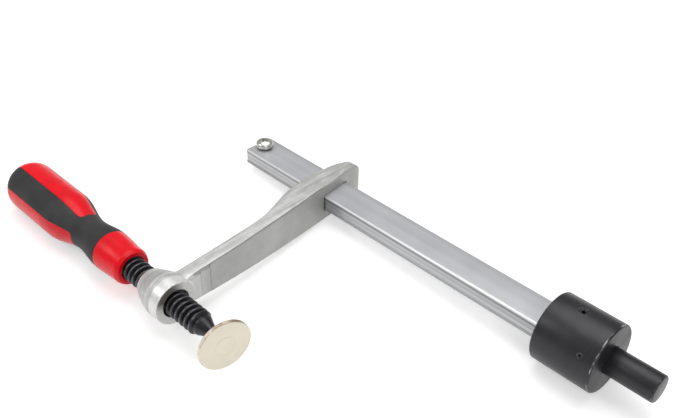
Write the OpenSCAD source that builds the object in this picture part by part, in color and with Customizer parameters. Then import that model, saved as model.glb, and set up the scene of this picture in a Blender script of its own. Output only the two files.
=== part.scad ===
// Welding table clamp: a flat steel rail whose round stud drops into a table bore, and a cast arm
// that slides along the rail and carries a screw spindle with a handle and a swivelling plate.
// Millimetres, +Z up, lying flat on its side. The origin is the centre of the collar's shoulder
// face, where the stud starts. +X runs along the rail and out through the stud, and the arm
// reaches towards -Y.

/* [Rail] */
// Width of the flat rail, along Y
rail_w = 22; // [20:0.5:26]
// Thickness of the rail, along Z
rail_t = 11; // [9:0.5:12]
// Distance from the collar's shoulder face back to the rail's free end
rail_reach = 277; // [240:1:400]
// Rounding of the rail's four long edges
rail_edge_r = 1.3; // [0.5:0.1:2]
// Width of the shallow flute rolled into each narrow face
flute_w = 6; // [3:0.2:6.6]
// Depth of that flute
flute_d = 0.4; // [0.2:0.1:0.8]
// Depth that the rail enters the collar
rail_pocket = 20; // [16:1:22]

/* [Collar and stud] */
// Diameter of the collar
collar_d = 40.6; // [36:0.2:50]
// Length of the collar
collar_l = 36.4; // [34:0.2:50]
// Chamfer at both ends of the collar
collar_chamfer = 0.8; // [0.4:0.1:1.5]
// Diameter of the stud, for a 16 mm table bore
stud_d = 15.8; // [14:0.1:20]
// Length of the stud beyond the shoulder face
stud_l = 28.4; // [20:0.2:40]
// Chamfer at the stud's free end
stud_chamfer = 0.6; // [0.4:0.1:2]
// Depth of the round recess in the shoulder that holds the stud's root
stud_seat = 1; // [0.5:0.1:1.5]
// Depth of the relief turned around the stud's root, into the stud and into the shoulder
stud_relief = 0.3; // [0.2:0.1:0.5]
// Diameter of the stud's spigot inside the collar
spigot_d = 12; // [10:0.5:13]
// Length of that spigot
spigot_l = 13; // [10:0.5:13.5]
// Diameter of the grub screw that holds the rail in the collar
grub_d = 5; // [5:0.5:8]
// Distance of the grub screw from the shoulder face
grub_at = 20; // [18:0.5:24]
// Depth of the grub screw's end below the collar's surface
grub_sunk = 0.5; // [0.3:0.1:2]
// Width across the flats of the grub screw's socket
grub_socket_w = 2.5; // [2:0.5:3.5]
// Depth of that socket
grub_socket_d = 4; // [3:0.5:5]
// Diameter of the slotted pin that locks the stud
pin_d = 2.5; // [2:0.5:4]
// Distance of the pin from the shoulder face
pin_at = 8.8; // [6:0.2:10]
// Angle of the pin above the horizontal
pin_angle = 27; // [0:1:60]
// Wall of the slotted pin
pin_wall = 0.6; // [0.4:0.1:0.9]
// Slot along the pin
pin_slot = 0.6; // [0.4:0.1:1]
// Depth of the pin's ends below the collar's surface
pin_sunk = 0.3; // [0.1:0.1:1.5]

/* [End stop] */
// Thread diameter of the end stop screw
stop_d = 6; // [5:0.5:6]
// Distance of that screw from the rail's free end
stop_at = 6.6; // [6:0.2:12]
// Diameter of its pan head
stop_head_d = 11.8; // [10:0.1:12]
// Height of its pan head
stop_head_h = 4.4; // [3.6:0.1:4.8]
// Flat height of the pan head's rim
stop_rim_h = 1.8; // [1:0.1:2]
// Length of its shank, under the washer
stop_shank_l = 11; // [8:0.5:12]
// Width across the arms of its cross recess
stop_cross_w = 6; // [4.4:0.2:6.6]
// Thickness of the arms of its cross recess
stop_cross_t = 1.4; // [0.8:0.1:1.6]
// Depth of the cross recess
stop_cross_d = 2.3; // [1.5:0.1:2.6]
// Outer diameter of the spring lock washer
washer_d = 10; // [9:0.1:11]
// Thickness of the spring lock washer
washer_t = 1.5; // [1:0.1:1.6]
// Gap where the washer is split
washer_gap = 1; // [0.5:0.1:1.5]

/* [Sliding arm] */
// Distance from the rail's near edge to the spindle's axis
throat = 123.9; // [110:0.1:140]
// Distance from the shoulder face back to the front of the arm's head
arm_at = 201.6; // [190:0.2:215]
// Distance that the arm's tip leans forward of its head
arm_lean = 10; // [6:0.5:12]
// Depth of the arm near its tip, along X
tip_depth = 10.4; // [9:0.2:13]
// Height of the arm at its tip, along Z
tip_h = 18.2; // [16:0.2:19]
// Extra height of the arm halfway along, above and below
arm_swell = 0.5; // [0:0.1:1.5]
// Length of the arm's head along the rail
head_l = 15.8; // [14:0.2:22]
// Height of the arm's head
head_h = 26; // [24:0.2:30]
// Distance that the head reaches beyond the rail's middle, along +Y
head_beyond = 28; // [22:0.2:30]
// Length of the head's rounded far end
head_round = 11.5; // [4:0.5:14]
// Depth that the head loses at the back before its far end rounds off
head_taper = 3.6; // [0:0.2:5]
// Rounding of the arm's front edges
front_edge_r = 1; // [0.6:0.1:3]
// Rounding of the arm's back edges
back_edge_r = 4.4; // [2:0.1:5]
// Distance from the rail's middle at which the arm starts to widen
flare_from = 62; // [50:1:70]
// Distance from the rail's middle at which it is fully wide
flare_to = 16; // [14:1:20]
// Diameter of the round boss around the spindle
boss_d = 27; // [26:0.2:32]
// Length of that boss
boss_l = 25; // [24:0.5:32]
// Distance that the boss stands out in front of the arm's tip
boss_front = 3.6; // [3:0.1:8]
// Diameter of the boss's back face
boss_back_d = 18.8; // [18:0.2:22]
// Diameter of the boss's front face
boss_face_d = 26.4; // [20:0.2:27]
// Length of the cone behind that front face
boss_cone_l = 7.6; // [2:0.2:9]
// Diameter of the countersink at the bore's front mouth
mouth_d = 17.4; // [16.4:0.2:20]
// Depth of that countersink
mouth_depth = 0.8; // [0.4:0.2:3]
// Radius of the fillet between the arm and the boss
fillet_r = 3; // [2:0.5:5]
// Rounding at the back of the boss
boss_back_round = 2; // [0.6:0.2:3]
// Height of each of the two steps on the arm's front face beside the boss
pad_t = 0.5; // [0.3:0.1:1]
// Distance from the spindle's axis to the first step
pad_reach = 19.7; // [18:0.1:24]
// Distance between the two steps
pad_l = 7; // [4:0.5:10]

/* [Spindle] */
// Outer diameter of the spindle's thread
spindle_d = 15; // [14:0.1:15]
// Pitch of the trapezoidal thread
pitch = 4; // [3:0.5:5]
// Depth of the thread
thread_depth = 2.2; // [1.5:0.1:2.4]
// Length of the threaded stretch
thread_l = 66; // [58:1:68]
// Diameter of the shank inside the handle
shank_d = 9; // [8:0.5:9.5]
// Length of that shank
shank_l = 112; // [90:1:114]
// Length of the plain nose in front of the thread
nose_l = 1.2; // [1:0.2:3]
// Diameter of that nose
nose_d = 12; // [11:0.2:13]
// Length of the cone between the nose and the neck
cone_l = 7.6; // [5:0.2:9]
// Length of the neck that shows between the cone and the ball
neck_l = 1.6; // [1:0.2:3]
// Diameter of the neck behind the ball
neck_d = 5.4; // [5:0.2:5.6]
// Diameter of the ball at the spindle's end
ball_d = 9; // [8.4:0.2:9.2]
// Distance from the shoulder face back to the ball's centre
ball_at = 150.6; // [140:0.2:165]

/* [Handle] */
// Distance from the ball's centre back to the handle's front end
handle_at = 78.4; // [74:0.1:80]
// Length of the handle
handle_l = 127; // [120:0.5:150]
// Largest diameter of the handle
handle_d = 32.4; // [28:0.2:36]
// Diameter of the handle at its waist
waist_d = 21.2; // [19:0.2:24]
// Diameter of the handle's front swell
swell_d = 25.4; // [23:0.2:28]
// Diameter where the front swell starts to round off
brow_d = 23; // [22:0.2:26]
// Diameter of the handle's front end
front_d = 20.4; // [17:0.1:22]
// Distance from the front end to the start of that rounding
brow_at = 3; // [2:0.5:12]
// Distance from the front end to the widest part of the swell
swell_at = 23; // [18:0.5:30]
// Distance from the front end to the waist
waist_at = 43; // [38:0.5:52]
// Distance from the front end to the start of the belly
belly_at = 73; // [64:0.5:88]
// Length of the rounded butt
dome_l = 14; // [12:0.5:20]
// Thickness of the soft grip over the hard core
grip_t = 2.2; // [1.5:0.1:3]
// Distance from the front end to the soft grip
grip_at = 22.5; // [20:0.5:30]
// Distance from the front end to the windows in the grip
window_at = 49; // [46:0.5:58]
// Distance from the windows' far ends to the butt
window_butt = 2.4; // [2:0.2:5]
// Angle that each window spans
window_span = 63; // [50:1:75]
// Angle of the first window's middle, from the -Y side up
window_turn = 107.5; // [90:0.5:120]
// Diameter of the opening around the thread
opening_d = 15.9; // [15.6:0.1:16.4]

/* [Pressure plate] */
// Diameter of the pressure plate
plate_d = 30.6; // [26:0.2:34]
// Thickness of the plate's rim
plate_t = 2.6; // [2:0.1:4]
// Chamfer around the plate's face
plate_chamfer = 0.4; // [0.2:0.1:0.8]
// Distance from the ball's centre to the plate's face
face_at = 7; // [6.8:0.1:9]
// Diameter of the hub behind the plate
hub_d = 13.2; // [12.6:0.2:16]
// Diameter of the hub's back end
hub_back_d = 11; // [10.4:0.2:14]
// Diameter of the hollow sphere inside the hub
socket_d = 11; // [10.6:0.1:11.4]
// Angle between the spindle's axis and the hub's mouth, seen from the ball's centre
mouth_angle = 52; // [48:1:54]
// Swing of the plate about a vertical axis as it lies, towards -Y
plate_swing = 10; // [0:1:15]
// Diameter of the groove turned into the plate's face
ring_mark_d = 12; // [8:0.5:16]
// Width of that groove
ring_mark_w = 0.8; // [0.5:0.1:1.2]
// Depth of that groove
ring_mark_t = 0.25; // [0.15:0.05:0.4]
// Angle from the spindle's axis at which the retaining ring starts
ring_from = 58; // [56:1:60]
// Angle at which the retaining ring ends
ring_to = 84; // [80:1:86]
// Angle at which the thrust cup starts
cup_from = 110; // [106:1:114]

/* [Fits] */
// Gap between the rail and the arm's slot, on each side
slot_gap = 0.4; // [0.3:0.05:0.6]
// Gap between the thread's crests and the boss's bore, all round
bore_gap = 0.35; // [0.3:0.05:0.5]
// Gap between the swivel's nested spheres
swivel_gap = 0.15; // [0.1:0.05:0.2]

/* [Hidden] */

$fn = 96;
small_fn = 48;

// The spindle's axis runs along X at this Y, in the rail's middle plane.
axis_y = -(rail_w / 2 + throat);
rail_end_x = -rail_reach;
collar_back_x = -collar_l;
rail_front_x = collar_back_x + rail_pocket;
stop_x = rail_end_x + stop_at;
arm_front_x = -arm_at;
arm_back_x = arm_front_x - head_l;
tip_front_x = arm_front_x + arm_lean;
boss_front_x = tip_front_x + boss_front;
ball_x = -ball_at;
handle_x = ball_x - handle_at;

// The rail's flute slopes over its own depth on each side.
flute_slope = flute_d;
// Steps in which curved outlines and profiles are drawn.
arm_steps = 24;
fillet_steps = 8;
edge_steps = 4;
arc_steps = 8;
profile_steps = 8;
// Turn of the last section at the head's far end, where a flat face closes it.
last_turn = 80;
// Reach of a fillet's arc, as a share of its radius.
fillet_reach_share = 0.8;
// Depth of the arm's tip inside the boss, as a share of the diameter of the boss's back face.
buried_share = 0.25;
// Rounding of the arm's back edges at the tip, as a share of that at the head.
tip_edge_share = 0.45;
// How much the head's far end loses in height.
head_crown_share = 0.85;
head_y = head_beyond - head_round;
// Straight-sided extra length of every cutting shape beyond the face that it opens.
cut = 1;

// Spindle: the plain nose follows the thread, then a cone, the neck and the ball.
crest_r = spindle_d / 2;
root_r = crest_r - thread_depth;
neck_back_x = ball_x - sqrt(pow(ball_d / 2, 2) - pow(neck_d / 2, 2)) - neck_l;
nose_front_x = neck_back_x - cone_l;
nose_back_x = nose_front_x - nose_l;
thread_sides = 32;
crest_share = 0.34;
flank_share = 0.16;
runout_share = 0.35;
first_rise_share = 0.2;
end_share = 0.5;
cap_share = 0.95;
thread_front_x = nose_back_x - pitch * end_share;
// The thread has a whole number of half turns, and an end cap of one pitch in all.
thread_turns = floor(2 * (thread_l / pitch - 1)) / 2;
thread_back_x = thread_front_x - (thread_turns + 1) * pitch;
cap_r = root_r * cap_share;

// Pressure plate, measured from the ball's centre along the plate's own axis.
socket_r = socket_d / 2;
cup_r = socket_r - swivel_gap;
seat_r = ball_d / 2 + swivel_gap;
hub_back = socket_r * cos(mouth_angle);
mouth_r = socket_r * sin(mouth_angle);

function ease(u) = (1 - cos(180 * min(max(u, 0), 1))) / 2;
function blend(a, b, u) = a + (b - a) * u;

// Turns +Z to +X and moves to the spindle's axis, at a distance x from the shoulder plane.
module on_axis(x) {
    translate([x, axis_y, 0])
        rotate([0, 90, 0])
            children();
}

// Cylinder along +X on the rail's own axis.
module rail_rod(x0, x1, d) {
    translate([x0, 0, 0])
        rotate([0, 90, 0])
            cylinder(h = x1 - x0, d = d);
}

// Ring turned about X from a list of [distance along X, radius] points.
module turned(points) {
    rotate([90, 0, 90])
        rotate_extrude()
            polygon([for (p = points) [p[1], p[0]]]);
}

module rail_section() {
    half_w = rail_w / 2;
    half_t = rail_t / 2;
    difference() {
        translate([-half_w + rail_edge_r, -half_t + rail_edge_r])
            union() {
                w = rail_w - 2 * rail_edge_r;
                t = rail_t - 2 * rail_edge_r;
                translate([-rail_edge_r, 0])
                    square([rail_w, t]);
                translate([0, -rail_edge_r])
                    square([w, rail_t]);
                for (x = [0, w], y = [0, t])
                    translate([x, y])
                        circle(r = rail_edge_r, $fn = small_fn);
            }
        for (side = [-1, 1])
            polygon([
                [side * (half_w + flute_d), -flute_w / 2 - flute_slope],
                [side * (half_w - flute_d), -flute_w / 2 + flute_slope],
                [side * (half_w - flute_d), flute_w / 2 - flute_slope],
                [side * (half_w + flute_d), flute_w / 2 + flute_slope]
            ]);
    }
}

module rail() {
    color("silver")
        difference() {
            translate([rail_end_x, 0, 0])
                rotate([90, 0, 90])
                    linear_extrude(rail_front_x - rail_end_x)
                        rail_section();
            translate([stop_x, 0, -rail_t / 2 - cut])
                cylinder(h = rail_t + 2 * cut, d = stop_d, $fn = small_fn);
        }
}

module end_stop_washer() {
    color("lightgray")
        translate([stop_x, 0, rail_t / 2])
            difference() {
                cylinder(h = washer_t, d = washer_d, $fn = small_fn);
                translate([0, 0, -cut])
                    cylinder(h = washer_t + 2 * cut, d = stop_d, $fn = small_fn);
                rotate([0, 0, -120])
                    translate([0, -washer_gap / 2, -cut])
                        cube([washer_d, washer_gap, washer_t + 2 * cut]);
            }
}

module end_stop_screw() {
    crown_h = stop_head_h - stop_rim_h;
    crown_r = stop_head_d / 2;
    color("gainsboro")
        translate([stop_x, 0, rail_t / 2 + washer_t])
            difference() {
                union() {
                    translate([0, 0, -stop_shank_l])
                        cylinder(h = stop_shank_l + stop_rim_h, d = stop_d, $fn = small_fn);
                    rotate_extrude()
                        polygon(concat(
                            [[0, 0], [crown_r, 0]],
                            [for (i = [0 : arc_steps]) let (a = 90 * i / arc_steps)
                                [crown_r * cos(a), stop_rim_h + crown_h * sin(a)]]
                        ));
                }
                for (turn = [15, 105])
                    rotate([0, 0, turn])
                        translate([-stop_cross_w / 2, -stop_cross_t / 2, stop_head_h - stop_cross_d])
                            cube([stop_cross_w, stop_cross_t, stop_cross_d + cut]);
            }
}

module collar() {
    r = collar_d / 2;
    c = collar_chamfer;
    color("dimgray")
        difference() {
            turned([
                [collar_back_x, 0], [collar_back_x, r - c], [collar_back_x + c, r],
                [-c, r], [0, r - c], [0, 0]
            ]);
            translate([collar_back_x - cut, 0, 0])
                rotate([90, 0, 90])
                    linear_extrude(rail_pocket + cut)
                        rail_section();
            rail_rod(-spigot_l, cut, spigot_d);
            rail_rod(-stud_seat, cut, stud_d + 2 * stud_relief);
            translate([-grub_at, 0, 0])
                cylinder(h = r + cut, d = grub_d, $fn = small_fn);
            translate([-grub_at, 0, r - grub_sunk])
                cylinder(h = grub_sunk + cut, d1 = grub_d, d2 = grub_d + 2 * (grub_sunk + cut), $fn = small_fn);
            pin_place()
                cylinder(h = collar_d + 2 * cut, d = pin_d, center = true, $fn = small_fn);
        }
}

// The pin's axis crosses the stud's axis, turned up from the horizontal.
module pin_place() {
    translate([-pin_at, 0, 0])
        rotate([90 - pin_angle, 0, 0])
            children();
}

module stud() {
    r = stud_d / 2;
    color("dimgray")
        difference() {
            union() {
                turned([
                    [-stud_seat, 0], [-stud_seat, r - stud_relief], [0, r - stud_relief], [0, r],
                    [stud_l - stud_chamfer, r], [stud_l, r - stud_chamfer], [stud_l, 0]
                ]);
                rail_rod(-spigot_l, 0, spigot_d);
            }
            pin_place()
                cylinder(h = collar_d, d = pin_d, center = true, $fn = small_fn);
        }
}

module stud_pin() {
    l = collar_d - 2 * pin_sunk;
    color("gray")
        pin_place()
            difference() {
                cylinder(h = l, d = pin_d, center = true, $fn = small_fn);
                cylinder(h = l + 2 * cut, d = pin_d - 2 * pin_wall, center = true, $fn = small_fn);
                translate([0, -pin_slot / 2, -l / 2 - cut])
                    cube([pin_d, pin_slot, l + 2 * cut]);
            }
}

module grub_screw() {
    top = collar_d / 2 - grub_sunk;
    hex_d = grub_socket_w / cos(30);
    color("black")
        translate([-grub_at, 0, 0])
            difference() {
                translate([0, 0, rail_t / 2])
                    cylinder(h = top - rail_t / 2, d = grub_d, $fn = small_fn);
                translate([0, 0, top - grub_socket_d])
                    cylinder(h = grub_socket_d + cut, d = hex_d, $fn = 6);
            }
}

// The arm is lofted along Y through rounded sections. Its front edge leans forward towards the
// tip, and its back edge flares out to the head.
function front_x(y) = arm_front_x + arm_lean * sin(90 * y / axis_y);
function back_x(y) = blend(
    front_x(y) - tip_depth, arm_back_x,
    ease((flare_from + y) / (flare_from - flare_to))
) + head_taper * pow(max(y, 0) / head_y, 3);
function half_h(y) = let (u = y / axis_y)
    blend(head_h, tip_h, u) / 2 + arm_swell * sin(180 * max(u, 0));

// The fillet between the arm and the boss is tangent to both. It starts at this distance from
// the spindle's axis and rises towards it.
fillet_at = sqrt(pow(boss_d / 2 + fillet_r, 2) - pow(tip_h / 2 + fillet_r, 2));
function fillet(d) = let (u = min(max(fillet_at - d, 0), fillet_r * fillet_reach_share))
    fillet_r - sqrt(pow(fillet_r, 2) - pow(u, 2));

// One rounded section in the XZ plane, from its front, back, half height and edge radii.
function section(y, front, back, h, front_r, back_r) = [
    for (c = [[front, 1, 1, front_r], [back, -1, 1, back_r], [back, -1, -1, back_r], [front, 1, -1, front_r]],
        i = [0 : edge_steps])
        let (
            a = 90 * i / edge_steps,
            turn = (c[1] == c[2]) ? a : 90 - a,
            r = c[3]
        )
        [c[0] - c[1] * r * (1 - cos(turn)), y, c[2] * (h - r * (1 - sin(turn)))]
];

function arm_section(y) = section(
    y, front_x(y), back_x(y), half_h(y) + fillet(y - axis_y),
    front_edge_r, blend(back_edge_r * tip_edge_share, back_edge_r, ease(1 - y / axis_y))
);

// The head's far end draws in along an ellipse and grows rounder. a is 0 at the head.
function head_section(a) = let (
        mid = (front_x(head_y) + back_x(head_y)) / 2,
        half_l = (front_x(head_y) - back_x(head_y)) / 2 * cos(a),
        h = half_h(head_y) * blend(1, cos(a), head_crown_share)
    )
    section(
        head_y + head_round * sin(a), mid + half_l, mid - half_l, h,
        blend(front_edge_r, half_l, pow(sin(a), 2)), blend(min(back_edge_r, half_l), half_l, pow(sin(a), 2))
    );

module arm_body() {
    near = axis_y + boss_back_d * buried_share;
    far = axis_y + fillet_at;
    sections = concat(
        [for (i = [0 : fillet_steps - 1]) arm_section(blend(near, far, i / fillet_steps))],
        [for (i = [0 : arm_steps]) arm_section(blend(far, head_y, i / arm_steps))],
        [for (i = [1 : arc_steps]) head_section(last_turn * i / arc_steps)]
    );
    m = 4 * (edge_steps + 1);
    n = len(sections);
    function at(i, j) = m * i + j % m;
    polyhedron(
        points = [for (ring = sections, p = ring) p],
        faces = concat(
            [for (i = [0 : n - 2], j = [0 : m - 1]) [at(i, j), at(i, j + 1), at(i + 1, j + 1)]],
            [for (i = [0 : n - 2], j = [0 : m - 1]) [at(i, j), at(i + 1, j + 1), at(i + 1, j)]],
            [[for (j = [m - 1 : -1 : 0]) at(0, j)], [for (j = [0 : m - 1]) at(n - 1, j)]]
        )
    );
}

// Two flat pads stand proud of the arm's front face beside the boss, the nearer one on the other.
module arm_pads() {
    half = tip_h / 2 - front_edge_r;
    ends = [axis_y + pad_reach + pad_l, axis_y + pad_reach];
    for (i = [0, 1]) {
        rise = (i + 1) * pad_t;
        translate([0, 0, -half])
            linear_extrude(2 * half)
                polygon([
                    [front_x(axis_y) + rise, axis_y], [front_x(ends[i]) + rise, ends[i]],
                    [front_x(ends[i]) - pad_t, ends[i]], [front_x(axis_y) - pad_t, axis_y]
                ]);
    }
}

module boss() {
    back = boss_front_x - boss_l;
    front = boss_front_x;
    on_axis(0)
        rotate_extrude()
            polygon(concat(
                [[0, back], [boss_back_d / 2 - boss_back_round, back]],
                [for (i = [1 : profile_steps]) let (a = 90 * i / profile_steps)
                    [
                        boss_back_d / 2 - boss_back_round * (1 - sin(a)),
                        back + boss_back_round * (1 - cos(a))
                    ]],
                [for (i = [1 : profile_steps]) let (u = i / profile_steps)
                    [
                        blend(boss_back_d, boss_d, sin(90 * u)) / 2,
                        blend(back + boss_back_round, front - boss_cone_l, u)
                    ]],
                [[boss_face_d / 2, front], [0, front]]
            ));
}

module sliding_arm() {
    color("lightslategray")
        difference() {
            union() {
                arm_body();
                arm_pads();
                boss();
            }
            translate([arm_back_x - head_l, -rail_w / 2 - slot_gap, -rail_t / 2 - slot_gap])
                cube([3 * head_l, rail_w + 2 * slot_gap, rail_t + 2 * slot_gap]);
            on_axis(boss_front_x - boss_l - cut)
                cylinder(h = boss_l + 2 * cut, d = spindle_d + 2 * bore_gap);
            on_axis(boss_front_x - mouth_depth)
                cylinder(h = mouth_depth, d1 = spindle_d + 2 * bore_gap, d2 = mouth_d);
        }
}

// Helical thread as one closed skin. Each row of points follows the helix; four rows make one
// pitch: two at the root and two at the crest. A flat ring closes each end.
module thread() {
    n = thread_turns * thread_sides;
    shares = [0, flank_share, flank_share + crest_share, 2 * flank_share + crest_share];
    run = runout_share * thread_sides;
    function rise(i) = min(1, blend(first_rise_share, 1, min(i, n - i) / run));
    function radius(i, j) = (j == 1 || j == 2) ? root_r + thread_depth * rise(i) : root_r;
    function spot(x, i, r) = [x, r * sin(360 * i / thread_sides), r * cos(360 * i / thread_sides)];
    start = -(thread_turns + 1) * pitch;
    rows = [for (i = [0 : n], j = [0 : 3])
        spot(start + pitch * (end_share + i / thread_sides + shares[j]), i, radius(i, j))];
    base = len(rows);
    back_ring = [for (i = [0 : thread_sides - 1]) spot(start, i, cap_r)];
    front_ring = [for (i = [0 : thread_sides - 1]) spot(pitch, i + n, cap_r)];
    function at(i, j) = 4 * i + j;
    function back(i) = base + i % thread_sides;
    function front(i) = base + thread_sides + i % thread_sides;
    skins = [for (i = [0 : n - 1], j = [0 : 2]) [at(i, j), at(i + 1, j), at(i + 1, j + 1), at(i, j + 1)]];
    joins = [for (i = [0 : n - thread_sides - 1])
        [at(i, 3), at(i + 1, 3), at(i + 1 + thread_sides, 0), at(i + thread_sides, 0)]];
    back_skin = [for (i = [0 : thread_sides - 1]) [back(i), back(i + 1), at(i + 1, 0), at(i, 0)]];
    front_skin = [for (i = [0 : thread_sides - 1]) let (k = n - thread_sides + i)
        [at(k, 3), at(k + 1, 3), front(i + 1), front(i)]];
    ends = [
        [back(0), at(0, 0), at(0, 1), at(0, 2), at(0, 3), at(thread_sides, 0)],
        [front(0), at(n, 3), at(n, 2), at(n, 1), at(n, 0), at(n - thread_sides, 3)],
        [for (i = [thread_sides - 1 : -1 : 0]) back(i)],
        [for (i = [0 : thread_sides - 1]) front(i)]
    ];
    translate([thread_front_x, axis_y, 0])
        polyhedron(
            points = concat(rows, back_ring, front_ring),
            faces = concat(skins, joins, back_skin, front_skin, ends)
        );
}

module spindle() {
    color("black")
        union() {
            thread();
            on_axis(thread_back_x - shank_l)
                cylinder(h = shank_l + pitch, d = shank_d);
            translate([0, axis_y, 0])
                turned([
                    [nose_back_x, 0], [nose_back_x, nose_d / 2], [nose_front_x, nose_d / 2],
                    [neck_back_x, neck_d / 2], [ball_x, neck_d / 2], [ball_x, 0]
                ]);
            translate([ball_x, axis_y, 0])
                rotate([0, 90, 0])
                    sphere(d = ball_d);
        }
}

// Profile of the handle from its front end to its butt, drawn in by t on the outside.
function eased(x0, r0, x1, r1) =
    [for (i = [0 : profile_steps - 1]) let (u = i / profile_steps) [blend(x0, x1, u), blend(r0, r1, ease(u))]];
function handle_curve(t) = concat(
    [for (i = [0 : profile_steps - 1]) let (u = i / profile_steps)
        [-brow_at * u, blend(front_d / 2, brow_d / 2, sin(90 * u)) - t]],
    eased(-brow_at, brow_d / 2 - t, -swell_at, swell_d / 2 - t),
    eased(-swell_at, swell_d / 2 - t, -waist_at, waist_d / 2 - t),
    eased(-waist_at, waist_d / 2 - t, -belly_at, handle_d / 2 - t),
    [for (i = [0 : 2 * arc_steps]) let (a = 45 * i / arc_steps)
        [-(handle_l - dome_l) - (dome_l - t) * sin(a), (handle_d / 2 - t) * cos(a)]]
);

module handle_solid(t) {
    translate([handle_x, axis_y, 0])
        turned(concat([[0, 0]], handle_curve(t)));
}

// Wedges with their edge on the handle's axis, one for each window in the grip.
module windows() {
    reach = handle_d;
    for (i = [0 : 2])
        translate([handle_x - handle_l + window_butt, axis_y, 0])
            rotate([90, 0, 90])
                rotate([0, 0, 180 - window_turn - 120 * i])
                    linear_extrude(handle_l - window_butt - window_at)
                        polygon([
                            [0, 0],
                            [reach, -reach * tan(window_span / 2)],
                            [reach, reach * tan(window_span / 2)]
                        ]);
}

// The soft grip's own space: the handle's outer layer behind its front swell, less the windows.
module grip_space() {
    difference() {
        handle_solid(0);
        handle_solid(grip_t);
        translate([handle_x - grip_at, axis_y - handle_d, -handle_d])
            cube([grip_at + cut, 2 * handle_d, 2 * handle_d]);
        windows();
    }
}

module handle_grip() {
    color("black")
        grip_space();
}

module handle_core() {
    color("red")
        difference() {
            handle_solid(0);
            grip_space();
            on_axis(thread_back_x)
                cylinder(h = handle_x - thread_back_x + cut, d = opening_d);
            on_axis(thread_back_x - shank_l)
                cylinder(h = shank_l + cut, d = shank_d);
        }
}

// Moves to the ball's centre and turns to the plate's own direction.
module plate_place() {
    translate([ball_x, axis_y, 0])
        rotate([0, 0, -plate_swing])
            children();
}

module pressure_plate() {
    r = plate_d / 2;
    back = face_at - plate_t;
    color("wheat")
        plate_place()
            difference() {
                turned([
                    [-hub_back, 0], [-hub_back, hub_back_d / 2], [0, hub_d / 2],
                    [back, hub_d / 2], [back, r - plate_chamfer], [back + plate_chamfer, r],
                    [face_at - plate_chamfer, r], [face_at, r - plate_chamfer], [face_at, 0]
                ]);
                rotate([0, 90, 0])
                    sphere(r = socket_r);
                turned([
                    [-hub_back - cut, 0], [-hub_back - cut, mouth_r], [0, mouth_r], [0, 0]
                ]);
                translate([face_at - ring_mark_t, 0, 0])
                    rotate([0, 90, 0])
                        difference() {
                            cylinder(h = ring_mark_t + cut, d = ring_mark_d + ring_mark_w);
                            translate([0, 0, -cut])
                                cylinder(h = ring_mark_t + 3 * cut, d = ring_mark_d - ring_mark_w);
                        }
            }
}

// Zone of the shell between the ball and the socket, between two angles from the spindle's side.
module swivel_zone(from, to) {
    far = socket_d;
    intersection() {
        difference() {
            rotate([0, 90, 0])
                sphere(r = cup_r);
            rotate([0, 90, 0])
                sphere(r = seat_r);
        }
        turned([
            [0, 0],
            [-far * cos(from), far * sin(from)],
            [-far * cos((from + to) / 2), 2 * far * sin((from + to) / 2)],
            [-far * cos(to), far * sin(to)]
        ]);
    }
}

module retaining_ring() {
    color("gray")
        plate_place()
            swivel_zone(ring_from, ring_to);
}

module thrust_cup() {
    color("gold")
        translate([ball_x, axis_y, 0])
            swivel_zone(cup_from, 180);
}

rail();
end_stop_screw();
end_stop_washer();
collar();
stud();
stud_pin();
grub_screw();
sliding_arm();
spindle();
handle_core();
handle_grip();
thrust_cup();
retaining_ring();
pressure_plate();
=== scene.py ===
"""Looks of a welding table clamp: a drawn steel rail with a turned collar and stud, a cast arm that
slides along it, a screw spindle with a two-colour handle, and a swivelling plate."""
import math

import bpy
from mathutils import Matrix, Vector


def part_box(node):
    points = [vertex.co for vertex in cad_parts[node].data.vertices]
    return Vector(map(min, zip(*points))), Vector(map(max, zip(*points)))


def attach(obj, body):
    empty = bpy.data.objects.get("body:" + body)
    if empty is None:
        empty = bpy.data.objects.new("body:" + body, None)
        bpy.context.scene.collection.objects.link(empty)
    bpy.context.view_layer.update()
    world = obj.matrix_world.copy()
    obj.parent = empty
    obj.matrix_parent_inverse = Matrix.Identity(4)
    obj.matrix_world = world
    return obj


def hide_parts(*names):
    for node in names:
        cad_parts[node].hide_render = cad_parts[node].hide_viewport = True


bl_info = {
    "name": "Welding table clamp",
    "version": (1, 0, 0),
    "blender": (4, 5, 0),
    "location": "3D View > Sidebar > Clamp",
    "description": "Models and finishes a welding table clamp piece by piece",
    "category": "Object",
}

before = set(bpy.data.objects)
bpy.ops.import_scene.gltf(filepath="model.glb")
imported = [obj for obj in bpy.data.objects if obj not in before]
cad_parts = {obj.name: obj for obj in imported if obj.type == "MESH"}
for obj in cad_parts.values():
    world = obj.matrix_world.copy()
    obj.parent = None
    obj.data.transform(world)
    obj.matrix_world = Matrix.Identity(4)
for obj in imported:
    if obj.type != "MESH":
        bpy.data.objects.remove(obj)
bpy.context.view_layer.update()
MM = 0.001
NEAR = 0.01 * MM        # two places closer than this are the same place
OVERRUN = 1 * MM        # how far a cutter stands out of what it cuts
QUARTER_TURN = math.pi / 2


# Sizes and colours

def size(name, text, value):
    """A length, given in millimetres."""
    return bpy.props.FloatProperty(
        name=name, description=text, default=value * MM, subtype="DISTANCE", unit="LENGTH", precision=5
    )


def turn(name, text, value):
    """An angle, given in degrees."""
    return bpy.props.FloatProperty(
        name=name, description=text, default=math.radians(value), subtype="ANGLE", unit="ROTATION"
    )


def share(name, text, value):
    return bpy.props.FloatProperty(name=name, description=text, default=value, subtype="FACTOR")


def tint(name, text, value):
    return bpy.props.FloatVectorProperty(
        name=name, description=text, default=value, size=3, min=0, max=1, subtype="COLOR"
    )


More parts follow.
